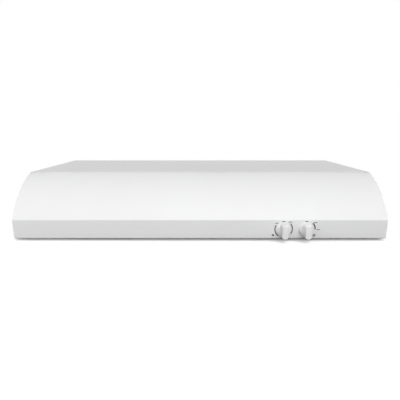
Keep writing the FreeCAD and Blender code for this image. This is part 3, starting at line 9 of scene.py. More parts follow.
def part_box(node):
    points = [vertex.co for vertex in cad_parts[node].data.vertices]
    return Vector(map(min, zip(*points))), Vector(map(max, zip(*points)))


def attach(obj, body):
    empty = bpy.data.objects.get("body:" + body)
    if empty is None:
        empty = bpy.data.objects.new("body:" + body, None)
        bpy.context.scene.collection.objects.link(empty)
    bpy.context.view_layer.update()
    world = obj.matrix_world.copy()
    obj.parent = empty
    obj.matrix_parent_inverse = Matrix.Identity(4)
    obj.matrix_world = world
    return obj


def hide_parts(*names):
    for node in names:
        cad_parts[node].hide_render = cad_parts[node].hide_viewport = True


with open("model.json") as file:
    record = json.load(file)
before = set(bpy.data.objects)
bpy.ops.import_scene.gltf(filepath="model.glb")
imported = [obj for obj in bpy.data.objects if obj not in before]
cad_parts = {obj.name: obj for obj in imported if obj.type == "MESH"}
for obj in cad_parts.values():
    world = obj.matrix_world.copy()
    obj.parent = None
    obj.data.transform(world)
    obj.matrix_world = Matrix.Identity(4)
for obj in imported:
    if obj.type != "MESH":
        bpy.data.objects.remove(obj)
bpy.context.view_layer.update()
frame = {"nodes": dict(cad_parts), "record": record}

MM = 0.001

# ------------------------------------------------------------------ sizes of the sheet metal, in metres
SHEET = 0.8 * MM
BEND = 2.2 * MM
FOOT_BEND = 0.35 * MM        # tighter bend along the chin's lower edge
CHIN_HEIGHT = 46.4 * MM      # flat band that carries the knobs
CHIN_LEAN = 4.0 * MM         # its lower edge stands back by this
CURVE_RUN = 129.0 * MM       # chin's upper edge to the crease, front to back
CURVE_RADIUS = 215.0 * MM
SIDE_WRAP = 10.0 * MM        # flange that laps over a side panel
FOOT_FLANGE = 14.0 * MM
HEM = 8.0 * MM               # turned up behind the foot flange
TOP_TUCK = 18.0 * MM         # flange of the front under the top
CURVE_STEPS = 28

# ------------------------------------------------------------------ sizes of a knob, in metres
KNOB_GAP = 1.0 * MM
KNOB_LENGTH = 27.0 * MM
SKIRT_R = 16.8 * MM
SKIRT_HEIGHT = 4.0 * MM
GRIP_HALF = 17.9 * MM
GRIP_WIDTH = 17.6 * MM
GRIP_CORNER = 6.4 * MM
GRIP_TAPER = 1.1 * MM        # each side leans in by this over the grip's height
GRIP_LEVELS = (0.32, 0.66, 1.0)
GRIP_ROUND = 1.6 * MM        # round of the face's edges
GRIP_SHORTER = 0.03          # share of the grip's length lost over its height
NUT_ROOM = 7.7 * MM
HOLE_R = 4.95 * MM           # bushing hole in the chin


# ================================================================== shader helpers
class Wire:
    """A number inside a material. Sums and products of it become Math nodes."""

    def __init__(self, finish, socket):
        self.finish = finish
        self.socket = socket

    def maths(self, operation, first, second):
        outputs = self.finish.add("ShaderNodeMath", {"operation": operation}, {0: first, 1: second})
        return Wire(self.finish, outputs[0])

    def __add__(self, other):
        return self.maths("ADD", self, other)

    def __sub__(self, other):
        return self.maths("SUBTRACT", self, other)

    def __rsub__(self, other):
        return self.maths("SUBTRACT", other, self)

    def __mul__(self, other):
        return self.maths("MULTIPLY", self, other)

    def band(self, low, high):
        """0 below low, 1 above high, smooth between."""
        settings = {"interpolation_type": "SMOOTHSTEP"}
        outputs = self.finish.add("ShaderNodeMapRange", settings, {0: self, 1: low, 2: high})
        return Wire(self.finish, outputs[0])

    __radd__ = __add__
    __rmul__ = __mul__


class Nodes:
    """The node tree of a material or a world, emptied and ready to be filled."""

    def __init__(self, holder):
        holder.use_nodes = True
        self.tree = holder.node_tree
        self.tree.nodes.clear()

    def add(self, kind, settings=None, values=None):
        """Adds a node, sets it up, then gives its sockets numbers or links. Returns its outputs."""
        node = self.tree.nodes.new(kind)
        for name, value in (settings or {}).items():
            setattr(node, name, value)
        for key, value in (values or {}).items():
            if isinstance(value, Wire):
                value = value.socket
            if isinstance(value, bpy.types.NodeSocket):
                self.tree.links.new(value, node.inputs[key])
            else:
                node.inputs[key].default_value = value
        return node.outputs

    def seen_or_lit(self, seen, lit):
        """Shows one shader straight to the camera and lets another one light the scene."""
        to_camera = self.add("ShaderNodeLightPath")["Is Camera Ray"]
        return self.add("ShaderNodeMixShader", None, {0: to_camera, 1: lit, 2: seen})[0]


class Finish(Nodes):
    """One procedural material and the helpers that build its nodes."""

    def __init__(self, name):
        self.material = bpy.data.materials.new(name)
        super().__init__(self.material)
        self.place = self.add("ShaderNodeTexCoord")["Object"]

    def stretched(self, scale):
        """Object place, scaled along each axis."""
        return self.add("ShaderNodeMapping", None, {"Vector": self.place, "Scale": scale})[0]

    def noise(self, scale, detail=3.0, rough=0.55, place=None):
        values = {"Vector": place or self.place, "Scale": scale, "Detail": detail, "Roughness": rough}
        return Wire(self, self.add("ShaderNodeTexNoise", None, values)[0])

    def cells(self, scale, output="Distance"):
        return self.add("ShaderNodeTexVoronoi", None, {"Vector": self.place, "Scale": scale})[output]

    def edges(self, radius):
        """1 along the worn outer edges, 0 on the flats."""
        rounded = self.add("ShaderNodeBevel", {"samples": 4}, {"Radius": radius})[0]
        plain = self.add("ShaderNodeNewGeometry")["Normal"]
        dot = {"operation": "DOT_PRODUCT"}
        along = self.add("ShaderNodeVectorMath", dot, {0: rounded, 1: plain})["Value"]
        return (1.0 - Wire(self, along)).band(0.01, 0.16)

    def blend(self, mask, first, second):
        """Colour that goes from first to second as the mask goes from 0 to 1."""
        values = {0: mask, 6: colour(first), 7: colour(second)}
        return self.add("ShaderNodeMix", {"data_type": "RGBA"}, values)[2]

    def bump(self, height, distance, strength=1.0, under=None):
        values = {"Height": height, "Distance": distance, "Strength": strength}
        if under is not None:
            values["Normal"] = under
        return self.add("ShaderNodeBump", None, values)[0]

    def shade(self, values):
        shader = self.add("ShaderNodeBsdfPrincipled", None, values)[0]
        self.add("ShaderNodeOutputMaterial", None, {"Surface": shader})
        return self.material


def colour(value):
    """A grey, a triple or a socket as something a colour socket takes."""
    if isinstance(value, (int, float)):
        value = (value, value, value)
    return (*value, 1.0) if isinstance(value, tuple) else value


# ================================================================== finishes
def enamel():
    """Baked white enamel: faint orange peel, a film of kitchen haze, and edges where the coat thins."""
    f = Finish("white_enamel")
    haze = f.noise(3.2, 4.0, 0.6)
    streak = f.noise(9.0, 3.0, 0.5, f.stretched((1.0, 0.25, 0.25)))
    speck = f.noise(420.0, 2.0, 0.5).band(0.72, 0.80)
    worn = f.edges(1.1 * MM)
    base = f.blend(haze.band(0.35, 0.75), (0.800, 0.802, 0.803), (0.785, 0.786, 0.784))
    base = f.blend(speck * 0.25, base, (0.60, 0.59, 0.57))
    base = f.blend(worn * haze.band(0.45, 0.7) * 0.35, base, (0.70, 0.70, 0.69))
    rough = 0.44 + haze * 0.10 + streak * 0.06 + worn * 0.05
    peel = f.bump(f.noise(300.0, 2.0, 0.45), 0.012 * MM, 0.55)
    wave = f.bump(f.noise(11.0, 1.0, 0.4), 0.25 * MM, 0.12, peel)
    return f.shade({"Base Color": base, "Roughness": rough, "Normal": wave, "IOR": 1.38,
                    "Coat Weight": 0.04, "Coat Roughness": 0.3})


def moulded(name, main, low, rough, grain=900.0, depth=0.010, dirt=0.25, coat=0.0):
    """Moulded plastic, rubber or ceramic: fine grain, soft mottling and rubbed edges."""
    f = Finish(name)
    mottle = f.noise(38.0, 3.0)
    fine = f.noise(grain, 3.0, 0.6)
    worn = f.edges(0.8 * MM)
    base = f.blend(mottle.band(0.35, 0.7) * dirt, main, low)
    base = f.blend(worn * fine.band(0.4, 0.6) * 0.3, base, low)
    roughness = rough + mottle * 0.10 + fine * 0.05 - worn * 0.06
    normal = f.bump(fine, depth * MM, 0.5)
    return f.shade({"Base Color": base, "Roughness": roughness, "Normal": normal, "Coat Weight": coat})


def metal(name, main, low, rough, grain=(1.0, 1.0, 1.0), scale=500.0, depth=0.004, spangle=0.0):
    """Bare or plated metal: drawn grain along the long axis, tarnish in patches and bright edges."""
    f = Finish(name)
    patch = f.noise(24.0, 4.0, 0.62)
    drawn = f.noise(scale, 4.0, 0.6, f.stretched(grain))
    worn = f.edges(0.7 * MM)
    base = f.blend(patch.band(0.35, 0.75) * 0.5, main, low)
    base = f.blend(drawn * 0.25, base, low)
    roughness = rough + patch * 0.16 + drawn * 0.14 - worn * 0.1
    height = drawn
    if spangle:
        flake = Wire(f, f.cells(70.0))
        tone = Wire(f, f.add("ShaderNodeSeparateColor", None, {0: f.cells(70.0, "Color")})[0])
        base = f.blend(tone * spangle, base, low)
        roughness = roughness + tone * 0.16 * spangle
        height = drawn + flake * 0.6
    base = f.blend(worn * 0.4, base, main)
    normal = f.bump(height, depth * MM, 0.6)
    return f.shade({"Base Color": base, "Roughness": roughness, "Metallic": 1.0, "Normal": normal})


def lens_plastic():
    """Pebbled clear plastic of the lamp lenses."""
    f = Finish("lens_plastic")
    pebble = Wire(f, f.cells(360.0))
    film = f.noise(30.0, 3.0)
    base = f.blend(film.band(0.4, 0.7) * 0.4, (0.93, 0.94, 0.93), (0.86, 0.86, 0.80))
    rough = 0.18 + film * 0.14
    normal = f.bump(pebble, 0.35 * MM, 0.7)
    return f.shade({"Base Color": base, "Roughness": rough, "Normal": normal,
                    "Transmission Weight": 0.75, "IOR": 1.49})


def frosted_glass():
    """Acid frosted bulb glass with a thin film on it."""
    f = Finish("frosted_glass")
    frost = f.noise(700.0, 2.0)
    film = f.noise(40.0, 3.0)
    base = f.blend(film.band(0.4, 0.7) * 0.5, (0.95, 0.95, 0.93), (0.88, 0.87, 0.83))
    rough = 0.38 + film * 0.2
    normal = f.bump(frost, 0.006 * MM, 0.4)
    return f.shade({"Base Color": base, "Roughness": rough, "Normal": normal,
                    "Transmission Weight": 0.35, "IOR": 1.5})


def laminations():
    """Edges of stacked steel sheets, one above the other."""
    f = Finish("lamination_steel")
    height = f.add("ShaderNodeSeparateXYZ", None, {0: f.place})[2]
    sheet = 0.35 * MM
    height = Wire(f, height)
    layers = height.maths("PINGPONG", height, sheet) * (1.0 / sheet)
    patch = f.noise(60.0, 4.0)
    base = f.blend(layers.band(0.2, 0.8), (0.10, 0.10, 0.11), (0.34, 0.33, 0.33))
    base = f.blend(patch.band(0.45, 0.75) * 0.5, base, (0.20, 0.12, 0.07))
    return f.shade({"Base Color": base, "Roughness": 0.42 + patch * 0.25, "Metallic": 0.85,
                    "Normal": f.bump(layers, 0.08 * MM, 0.6)})


def windings():
    """Varnished copper wire laid side by side."""
    f = Finish("enamelled_copper")
    rings = {"wave_type": "RINGS", "rings_direction": "Z"}
    values = {"Vector": f.place, "Scale": 300.0, "Distortion": 2.0, "Detail": 1.0, "Detail Scale": 2.0}
    turns = Wire(f, f.add("ShaderNodeTexWave", rings, values)[1])
    patch = f.noise(80.0, 3.0)
    base = f.blend(turns, (0.28, 0.09, 0.035), (0.62, 0.26, 0.11))
    base = f.blend(patch.band(0.5, 0.8) * 0.5, base, (0.18, 0.07, 0.03))
    return f.shade({"Base Color": base, "Roughness": 0.3 + patch * 0.2, "Metallic": 0.8, "Coat Weight": 0.5,
                    "Normal": f.bump(turns, 0.15 * MM, 0.7)})


def foil():
    """Expanded aluminium foil: crossed strands, with painted shade near black in the openings between them,
    and a film of old grease.
    """
    f = Finish("filter_foil")
    slant = f.add("ShaderNodeMapping", None, {"Vector": f.place, "Rotation": (0.0, 0.0, math.radians(45))})[0]
    open_cell = Wire(f, f.add("ShaderNodeTexVoronoi", {"feature": "DISTANCE_TO_EDGE"},
                              {"Vector": slant, "Scale": 260.0, "Randomness": 0.25})[0])
    strand = 1.0 - open_cell.band(0.06, 0.16)
    grease = f.noise(14.0, 4.0).band(0.4, 0.75)
    # the openings are painted near black: painted shade of the pack's depth on a solid slab, while the
    # strands keep the foil's own colour
    base = f.blend(strand, (0.05, 0.05, 0.05), (0.78, 0.78, 0.77))
    base = f.blend(grease * 0.35, base, (0.45, 0.38, 0.24))
    return f.shade({"Base Color": base, "Roughness": 0.3 + grease * 0.25, "Metallic": strand * 0.9,
                    "Normal": f.bump(strand, 0.3 * MM, 0.8)})


def print_ink():
    """Grey screen print of the dial marks, slightly broken where it has been wiped."""
    f = Finish("dial_print")
    rub = f.noise(900.0, 3.0).band(0.35, 0.75)
    base = f.blend(rub, (0.030, 0.030, 0.033), (0.075, 0.075, 0.08))
    return f.shade({"Base Color": base, "Roughness": 0.5 + rub * 0.2, "Normal": f.bump(rub, 0.01 * MM, 0.4)})


# name, main colour, colour of its dirt and wear, roughness, then grain, its depth, dirt and coat
MOULDED = [
    ("white_knob_plastic", (0.86, 0.862, 0.862), (0.74, 0.73, 0.70), 0.22, 1200.0, 0.006, 0.12, 0.2),
    ("black_phenolic", (0.035, 0.034, 0.033), (0.075, 0.07, 0.065), 0.4, 700.0, 0.02),
    ("white_porcelain", (0.84, 0.83, 0.80), (0.68, 0.65, 0.58), 0.14, 500.0, 0.02, 0.3, 0.4),
    ("black_rubber", (0.022, 0.022, 0.023), (0.06, 0.058, 0.055), 0.62, 800.0, 0.03),
    ("lead_insulation", (0.035, 0.035, 0.037), (0.085, 0.08, 0.075), 0.45, 900.0, 0.02),
]

# name, main colour, tarnish, roughness, and what else differs from plain drawn metal
METALS = [
    ("spring_steel", (0.50, 0.50, 0.52), (0.30, 0.28, 0.27), 0.22, {}),
    ("bright_steel", (0.66, 0.66, 0.67), (0.44, 0.42, 0.40), 0.16, {"grain": (1.0, 1.0, 0.1)}),
    ("reflector_aluminium", (0.86, 0.86, 0.87), (0.66, 0.65, 0.62), 0.16, {"grain": (0.05, 1.0, 1.0)}),
    ("filter_aluminium", (0.80, 0.80, 0.81), (0.58, 0.56, 0.51), 0.24, {"grain": (0.06, 1.0, 1.0)}),
    ("galvanised_steel", (0.62, 0.63, 0.65), (0.40, 0.41, 0.43), 0.26, {"spangle": 0.7}),
    ("cast_aluminium", (0.60, 0.60, 0.60), (0.36, 0.35, 0.34), 0.42, {"scale": 900.0, "depth": 0.05}),
    ("sintered_bronze", (0.52, 0.33, 0.16), (0.28, 0.17, 0.08), 0.42, {"scale": 1500.0, "depth": 0.03}),
    ("bulb_brass", (0.76, 0.60, 0.30), (0.48, 0.34, 0.15), 0.22, {}),
    ("green_screw", (0.06, 0.34, 0.12), (0.03, 0.18, 0.07), 0.32, {}),
    ("zinc_screws", (0.66, 0.66, 0.64), (0.44, 0.42, 0.36), 0.24, {}),
]

FINISHES = {
    "white_enamel": enamel(),
    "lens_plastic": lens_plastic(),
    "frosted_glass": frosted_glass(),
    "lamination_steel": laminations(),
    "enamelled_copper": windings(),
    "filter_foil": foil(),
}
FINISHES.update({row[0]: moulded(*row) for row in MOULDED})
FINISHES.update({name: metal(name, main, low, rough, **rest) for name, main, low, rough, rest in METALS})
INK = print_ink()

# every CAD node takes the finish of its slot in the record
for part in frame["record"]["subparts"]:
    mesh = frame["nodes"][part["node"]].data
    mesh.materials.clear()
    mesh.materials.append(FINISHES[part["material_slot"]])


# ================================================================== making pieces
def finish_piece(name, bm, look, body, stands_for=(), smooth=35.0):
    """Turns a bmesh into a piece with one finish that rides on a body."""
    bmesh.ops.remove_doubles(bm, verts=bm.verts, dist=1e-6)
    bmesh.ops.recalc_face_normals(bm, faces=bm.faces)
    mesh = bpy.data.meshes.new(name)
    bm.to_mesh(mesh)
    bm.free()
    mesh.materials.append(look)
    mesh.shade_smooth()
    mesh.set_sharp_from_angle(angle=math.radians(smooth))
    piece = bpy.data.objects.new(name, mesh)
    bpy.context.scene.collection.objects.link(piece)
    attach(piece, body)
    if stands_for:
        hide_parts(*stands_for)
    return piece


def faces_at(bm, test):
    """Faces whose middle passes a test."""
    return [face for face in bm.faces if test(face.calc_center_median())]


def edges_at(bm, test):
    """Edges whose middle passes a test."""
    return [edge for edge in bm.edges if test((edge.verts[0].co + edge.verts[1].co) / 2)]


def near(value, target, reach=1e-5):
    return abs(value - target) < reach


def round_edges(bm, edges, radius, segments=3):
    bmesh.ops.bevel(bm, geom=edges, offset=radius, offset_type="OFFSET", segments=segments,
                    profile=0.5, affect="EDGES", material=-1, clamp_overlap=True)


def move(bm, geom, x=0.0, y=0.0, z=0.0):
    verts = {v for item in geom for v in ([item] if isinstance(item, bmesh.types.BMVert) else item.verts)}
    bmesh.ops.translate(bm, verts=list(verts), vec=(x, y, z))


def split(bm, at, normal):
    """Cuts new edges where a plane crosses the mesh."""
    geom = bm.verts[:] + bm.edges[:] + bm.faces[:]
    bmesh.ops.bisect_plane(bm, geom=geom, plane_co=at, plane_no=normal, dist=1e-7)


# ================================================================== the front sheet
front_lo, front_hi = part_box("front_panel")
HALF = front_hi.x
FRONT = front_lo.y
RIM = front_lo.z
FOOT = FRONT + CHIN_LEAN
KINK = RIM + CHIN_HEIGHT
CREASE = FRONT + CURVE_RUN
SKIN = front_hi.z
CHIN_ANGLE = math.atan2(CHIN_LEAN, CHIN_HEIGHT)
knob_x = {name: (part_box(name)[0].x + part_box(name)[1].x) / 2 for name in ("fan_knob", "light_knob")}
CHIN_MIDDLE = Vector((0.0, (FRONT + FOOT) / 2, (KINK + RIM) / 2))


def on_chin(x, out=0.0):
    """Matrix from a piece made flat, with +Z out of the chin and +Y up it, to its place."""
    place = Matrix.Translation((x, CHIN_MIDDLE.y, CHIN_MIDDLE.z))
    turn = Matrix.Rotation(math.pi / 2 + CHIN_ANGLE, 4, "X")
    return place @ turn @ Matrix.Translation((0.0, 0.0, out))


def arc_centre():
    """Centre of the curved front's arc."""
    start, end = Vector((0.0, FRONT, KINK)), Vector((0.0, CREASE, SKIN))
    chord = end - start
    away = math.sqrt(CURVE_RADIUS ** 2 - chord.length_squared / 4)
    return (start + end) / 2 + Vector((0.0, chord.z, -chord.y)).normalized() * away


def side_outline(bm, x):
    """Closed outline of the front sheet's side view, drawn at x, as one face."""
    centre = arc_centre()
    start = Vector((x, FRONT, KINK))
    centre.x = x
    a0 = math.atan2(start.z - centre.z, start.y - centre.y)
    a1 = math.atan2(SKIN - centre.z, CREASE - centre.y)
    kink = bm.verts.new(start)
    bmesh.ops.spin(bm, geom=[kink], cent=centre, axis=(1, 0, 0), angle=a1 - a0, steps=CURVE_STEPS,
                   use_duplicate=False)
    ends = [v for v in bm.verts if len(v.link_edges) == 1]
    crease = max(ends, key=lambda v: v.co.z)
    kink = min(ends, key=lambda v: v.co.z)
    foot = bm.verts.new((x, FOOT, RIM))
    bm.edges.new((kink, foot))
    tuck = bm.verts.new((x, CREASE + TOP_TUCK, SKIN))
    bm.edges.new((crease, tuck))
    heel = bm.verts.new((x, CREASE + TOP_TUCK, RIM))
    bm.edges.new((tuck, heel))
    bm.edges.new((heel, foot))
    return bmesh.ops.contextual_create(bm, geom=bm.edges[:])["faces"][0]


def drill_chin(bm, x):
    """Round hole for a switch bushing: a square cell of the chin is swapped for a ring of faces."""
    cell = 9.0 * MM
    up = Vector((0.0, -math.sin(CHIN_ANGLE), math.cos(CHIN_ANGLE)))
    middle = Vector((x, CHIN_MIDDLE.y, CHIN_MIDDLE.z))
    chin = faces_at(bm, lambda c: c.z < KINK and c.y < FOOT)
    chin = [f for f in chin if abs(f.normal.x) < 0.1]

    def cut(at, normal):
        geom = chin + list({e for f in chin for e in f.edges} | {v for f in chin for v in f.verts})
        made = bmesh.ops.bisect_plane(bm, geom=geom, plane_co=at, plane_no=normal, dist=1e-7)["geom"]
        return [g for g in made if isinstance(g, bmesh.types.BMFace)]

    chin = cut(middle - Vector((cell, 0, 0)), (1, 0, 0))
    chin = cut(middle + Vector((cell, 0, 0)), (1, 0, 0))
    chin = cut(middle - up * cell, up)
    cut(middle + up * cell, up)
    square = [f for f in bm.faces if (f.calc_center_median() - middle).length < 0.5 * MM]
    rim = {e for f in square for e in f.edges}
    bmesh.ops.delete(bm, geom=square, context="FACES_ONLY")
    inner = bmesh.ops.subdivide_edges(bm, edges=list(rim), cuts=7, use_grid_fill=False)["geom_inner"]
    rim = {e for v in inner if isinstance(v, bmesh.types.BMVert) for e in v.link_edges if e.is_boundary}
    ring = bmesh.ops.create_circle(bm, cap_ends=False, segments=32, radius=HOLE_R, matrix=on_chin(x))["verts"]
    ring = {e for v in ring for e in v.link_edges}
    bmesh.ops.bridge_loops(bm, edges=list(rim | ring))


def front_sheet():
    """Chin, curve and tuck in one bent sheet, with flanges round both ends and a hem under the chin."""
    bm = bmesh.new()
    side = side_outline(bm, -HALF)
    block = bmesh.ops.extrude_face_region(bm, geom=[side])["geom"]
    move(bm, [g for g in block if isinstance(g, bmesh.types.BMVert)], x=2 * HALF)
    bmesh.ops.recalc_face_normals(bm, faces=bm.faces)
    ends = faces_at(bm, lambda c: near(abs(c.x), HALF))
    bmesh.ops.inset_region(bm, faces=ends, thickness=SIDE_WRAP, use_even_offset=True)
    bm.faces.ensure_lookup_table()
    heel = CREASE + TOP_TUCK
    lip = FOOT + FOOT_FLANGE
    centre = arc_centre()

    def spare(face):
        c = face.calc_center_median()
        if near(abs(c.x), HALF):
            if len(face.verts) > 4 or near(c.y, heel, SIDE_WRAP) and c.z < SKIN - SIDE_WRAP * 1.2:
                return True
            return c.z < RIM + SIDE_WRAP and c.y > FOOT + SIDE_WRAP * 1.2 or c.y > CREASE - MM
        return near(c.y, heel)

    bmesh.ops.delete(bm, geom=[f for f in bm.faces if spare(f)], context="FACES")
    split(bm, (0, lip, 0), (0, 1, 0))
    floor = faces_at(bm, lambda c: near(c.z, RIM) and c.y > lip)
    bmesh.ops.delete(bm, geom=floor, context="FACES")
    tuck_half = HALF - 2 * SHEET - FOOT_FLANGE
    for x in (-tuck_half, tuck_half):
        tuck = faces_at(bm, lambda c: near(c.z, SKIN) and c.y > CREASE)
        geom = tuck + list({e for f in tuck for e in f.edges} | {v for f in tuck for v in f.verts})
        bmesh.ops.bisect_plane(bm, geom=geom, plane_co=(x, 0, 0), plane_no=(1, 0, 0), dist=1e-7)
    corners = faces_at(bm, lambda c: near(c.z, SKIN) and c.y > CREASE and abs(c.x) > tuck_half)
    bmesh.ops.delete(bm, geom=corners, context="FACES")

    def on_bend(c):
        at_end = near(abs(c.x), HALF)
        ends_line = at_end and math.hypot(c.y - centre.y, c.z - centre.z) > CURVE_RADIUS - 2 * MM
        chin_line = at_end and near(c.y, FOOT - (c.z - RIM) * CHIN_LEAN / CHIN_HEIGHT, 0.05 * MM)
        long_line = abs(c.x) < HALF - MM and any(
            near(c.y, y) and near(c.z, z) for y, z in ((FOOT, RIM), (FRONT, KINK), (CREASE, SKIN)))
        return ends_line or chin_line or long_line

    bends = [e for e in edges_at(bm, on_bend) if not e.is_boundary]
    foot = [e for e in bends if near(e.verts[0].co.z, RIM) and near(e.verts[1].co.z, RIM)]
    round_edges(bm, [e for e in bends if e not in foot], BEND, 4)
    round_edges(bm, edges_at(bm, lambda c: near(c.z, RIM) and near(c.y, FOOT)), FOOT_BEND, 3)
    for x in knob_x.values():
        drill_chin(bm, x)
    hem = [e for e in edges_at(bm, lambda c: near(c.y, lip)) if e.is_boundary]
    rise = bmesh.ops.extrude_edge_only(bm, edges=hem)["geom"]
    move(bm, [g for g in rise if isinstance(g, bmesh.types.BMVert)], z=HEM)
    piece = finish_piece("front_sheet", bm, FINISHES["white_enamel"], "shell",
                         ("front_panel",), 30.0)
    wall = piece.modifiers.new("sheet", "SOLIDIFY")
    wall.thickness = SHEET
    wall.offset = -1.0


front_sheet()


# ================================================================== knobs
def knob(name):
    """Round skirt with a round-ended grip bar across it, narrowing a little towards its face."""
    bm = bmesh.new()
    foot, face = KNOB_GAP, KNOB_GAP + KNOB_LENGTH
    profile = [
        (NUT_ROOM, foot + 2.2 * MM),
        (NUT_ROOM, foot),
        (SKIRT_R - 0.5 * MM, foot),
        (SKIRT_R, foot + 0.5 * MM),
        (SKIRT_R, foot + 2.4 * MM),
        (SKIRT_R - 0.35 * MM, foot + 3.3 * MM),
        (SKIRT_R - 1.3 * MM, foot + 3.9 * MM),
        (SKIRT_R - 3.0 * MM, foot + SKIRT_HEIGHT),
        (0.0, foot + SKIRT_HEIGHT + 0.3 * MM),
    ]
    line = [bm.verts.new((r, 0.0, z)) for r, z in profile]
    edges = [bm.edges.new(pair) for pair in zip(line, line[1:])]
    bmesh.ops.spin(bm, geom=line + edges, cent=(0, 0, 0), axis=(0, 0, 1), angle=2 * math.pi, steps=64,
                   use_merge=True)
    grip_bm = bmesh.new()
    half = GRIP_WIDTH / 2
    outline = Matrix.Diagonal((half, GRIP_HALF, 1, 1))
    bmesh.ops.create_grid(grip_bm, x_segments=1, y_segments=1, size=1.0, matrix=outline)
    bmesh.ops.bevel(grip_bm, geom=grip_bm.verts[:], offset=GRIP_CORNER, offset_type="OFFSET", segments=8,
                    profile=0.5, affect="VERTICES", material=-1)
    low = foot + SKIRT_HEIGHT * 0.6
    bmesh.ops.translate(grip_bm, verts=grip_bm.verts, vec=(0, 0, low))
    last = 0.0
    top = grip_bm.faces[:]
    for level in GRIP_LEVELS:
        grown = bmesh.ops.extrude_face_region(grip_bm, geom=top)["geom"]
        verts = [g for g in grown if isinstance(g, bmesh.types.BMVert)]
        top = [g for g in grown if isinstance(g, bmesh.types.BMFace)]
        bmesh.ops.translate(grip_bm, verts=verts, vec=(0, 0, (face - low) * (level - last)))
        narrower = (half - GRIP_TAPER * level) / (half - GRIP_TAPER * last)
        bmesh.ops.scale(grip_bm, verts=verts, vec=(narrower, 1.0 - GRIP_SHORTER * (level - last), 1.0))
        last = level
    rim = [e for e in edges_at(grip_bm, lambda c: near(c.z, face, 1e-4)) if e.is_manifold]
    round_edges(grip_bm, rim, GRIP_ROUND, 5)
    mesh = bpy.data.meshes.new("grip")
    grip_bm.to_mesh(mesh)
    grip_bm.free()
    bm.from_mesh(mesh)
    bpy.data.meshes.remove(mesh)
    bmesh.ops.transform(bm, matrix=on_chin(knob_x[name]), verts=bm.verts)
    finish_piece(name + "_cap", bm, FINISHES["white_knob_plastic"], name, (name,), 38.0)


for name in knob_x:
    knob(name)


# ================================================================== printed dial marks
INK_RISE = 0.06 * MM
LINE = 2.5 * MM


def mark_arc(bm, start, end, radius, width, steps=24):
    """Flat strip along an arc round the dial, angles in degrees clockwise from the top."""
    a0, a1 = math.radians(90 - start), math.radians(90 - end)
    inner = Vector(((radius - width / 2) * math.cos(a0), (radius - width / 2) * math.sin(a0), 0.0))
    outer = Vector(((radius + width / 2) * math.cos(a0), (radius + width / 2) * math.sin(a0), 0.0))
    pair = [bm.verts.new(inner), bm.verts.new(outer)]
    edge = bm.edges.new(pair)
    bmesh.ops.spin(bm, geom=pair + [edge], cent=(0, 0, 0), axis=(0, 0, 1), angle=a1 - a0, steps=steps)


def mark_bar(bm, at, length, turn, width=1.5):
    """Flat dash centred on a point, in millimetres, turned by degrees clockwise."""
    place = Matrix.Translation((at[0] * MM, at[1] * MM, 0.0)) @ Matrix.Rotation(math.radians(-turn), 4, "Z")
    place = place @ Matrix.Diagonal((width / 2 * MM, length / 2 * MM, 1.0, 1.0))
    bmesh.ops.create_grid(bm, x_segments=1, y_segments=1, size=1.0, matrix=place)


def mark_dot(bm, at, radius):
    """Filled dot, in millimetres."""
    place = Matrix.Translation((at[0] * MM, at[1] * MM, 0.0))
    bmesh.ops.create_circle(bm, cap_ends=True, segments=24, radius=radius * MM, matrix=place)


def print_marks(name, x, draw):
    """One piece of ink on the chin around x: draw adds its flat faces to a bmesh."""
    bm = bmesh.new()
    draw(bm)
    skin = bmesh.ops.extrude_face_region(bm, geom=bm.faces[:])["geom"]
    move(bm, [g for g in skin if isinstance(g, bmesh.types.BMVert)], z=INK_RISE)
    bmesh.ops.transform(bm, matrix=on_chin(x, 0.01 * MM), verts=bm.verts)
    finish_piece(name, bm, INK, "shell")


def fan_marks(bm):
    """Speed arcs each side of the fan dial, dashes above it, and a four-blade fan."""
    mark_arc(bm, -145, -60, 20.9 * MM, LINE)
    mark_arc(bm, 50, 121, 21.6 * MM, LINE)
    for at in ((-16.6, 15.6), (-0.2, 19.9), (15.6, 18.4)):
        mark_bar(bm, at, 8.2, 90, 1.7)
    hub = (-24.9, -15.0)
    for blade in range(4):
        turn = 45 + 90 * blade
        a = math.radians(turn)
        mark_bar(bm, (hub[0] + 1.9 * math.sin(a), hub[1] + 1.9 * math.cos(a)), 2.8, turn, 2.0)
    mark_dot(bm, hub, 0.8)


def light_marks(bm):
    """Off and on dashes of the light dial, an arc between them, and a small sun."""
    mark_arc(bm, 45, 90, 22.0 * MM, LINE * 1.25)
    for at in ((0.7, 20.2), (22.0, 17.0), (29.6, -1.2)):
        mark_bar(bm, at, 7.4, 90, 1.7)
    sun = (20.6, -15.6)
    mark_dot(bm, sun, 2.2)
    for ray in range(8):
        a = math.radians(45 * ray)
        mark_bar(bm, (sun[0] + 3.6 * math.sin(a), sun[1] + 3.6 * math.cos(a)), 1.5, 45 * ray, 1.0)


print_marks("fan_dial_print", knob_x["fan_knob"], fan_marks)
print_marks("light_dial_print", knob_x["light_knob"], light_marks)


# ================================================================== grease filters
RIM_WIDTH = 10.0 * MM        # channel round a filter
FRAME_THICK = 9.0 * MM
CELL = (9.5 * MM, 4.2 * MM)  # half width and half height of one opening of the expanded foil
STRAND = 0.55 * MM           # half of a strand's width
FRAME_SKIN = 1.1 * MM        # from the mesh pack to the outside of a channel
CHANNEL_EDGE = 0.9 * MM      # round of a channel's long edges
MITRE_GAP = 0.12 * MM
PIN_R = 2.0 * MM
PIN_BACK = 6.0 * MM          # hinge pin in front of the frame's rear edge
GUIDE_WALL = 0.6 * MM        # sheet of the two guides that hold a latch
GUIDE_LIP = 2.0 * MM
FOIL_WALL = 0.22 * MM
FOIL_OUT = 0.35 * MM         # foil outside the mesh pack
FOIL_WAVE = 0.22 * MM
LATCH_PLATE = 1.2 * MM
RIB_PITCH = 4.0 * MM         # ribs of a lamp lens
RIB_HEIGHT = 0.6 * MM
RIB_MARGIN = 9.0 * MM


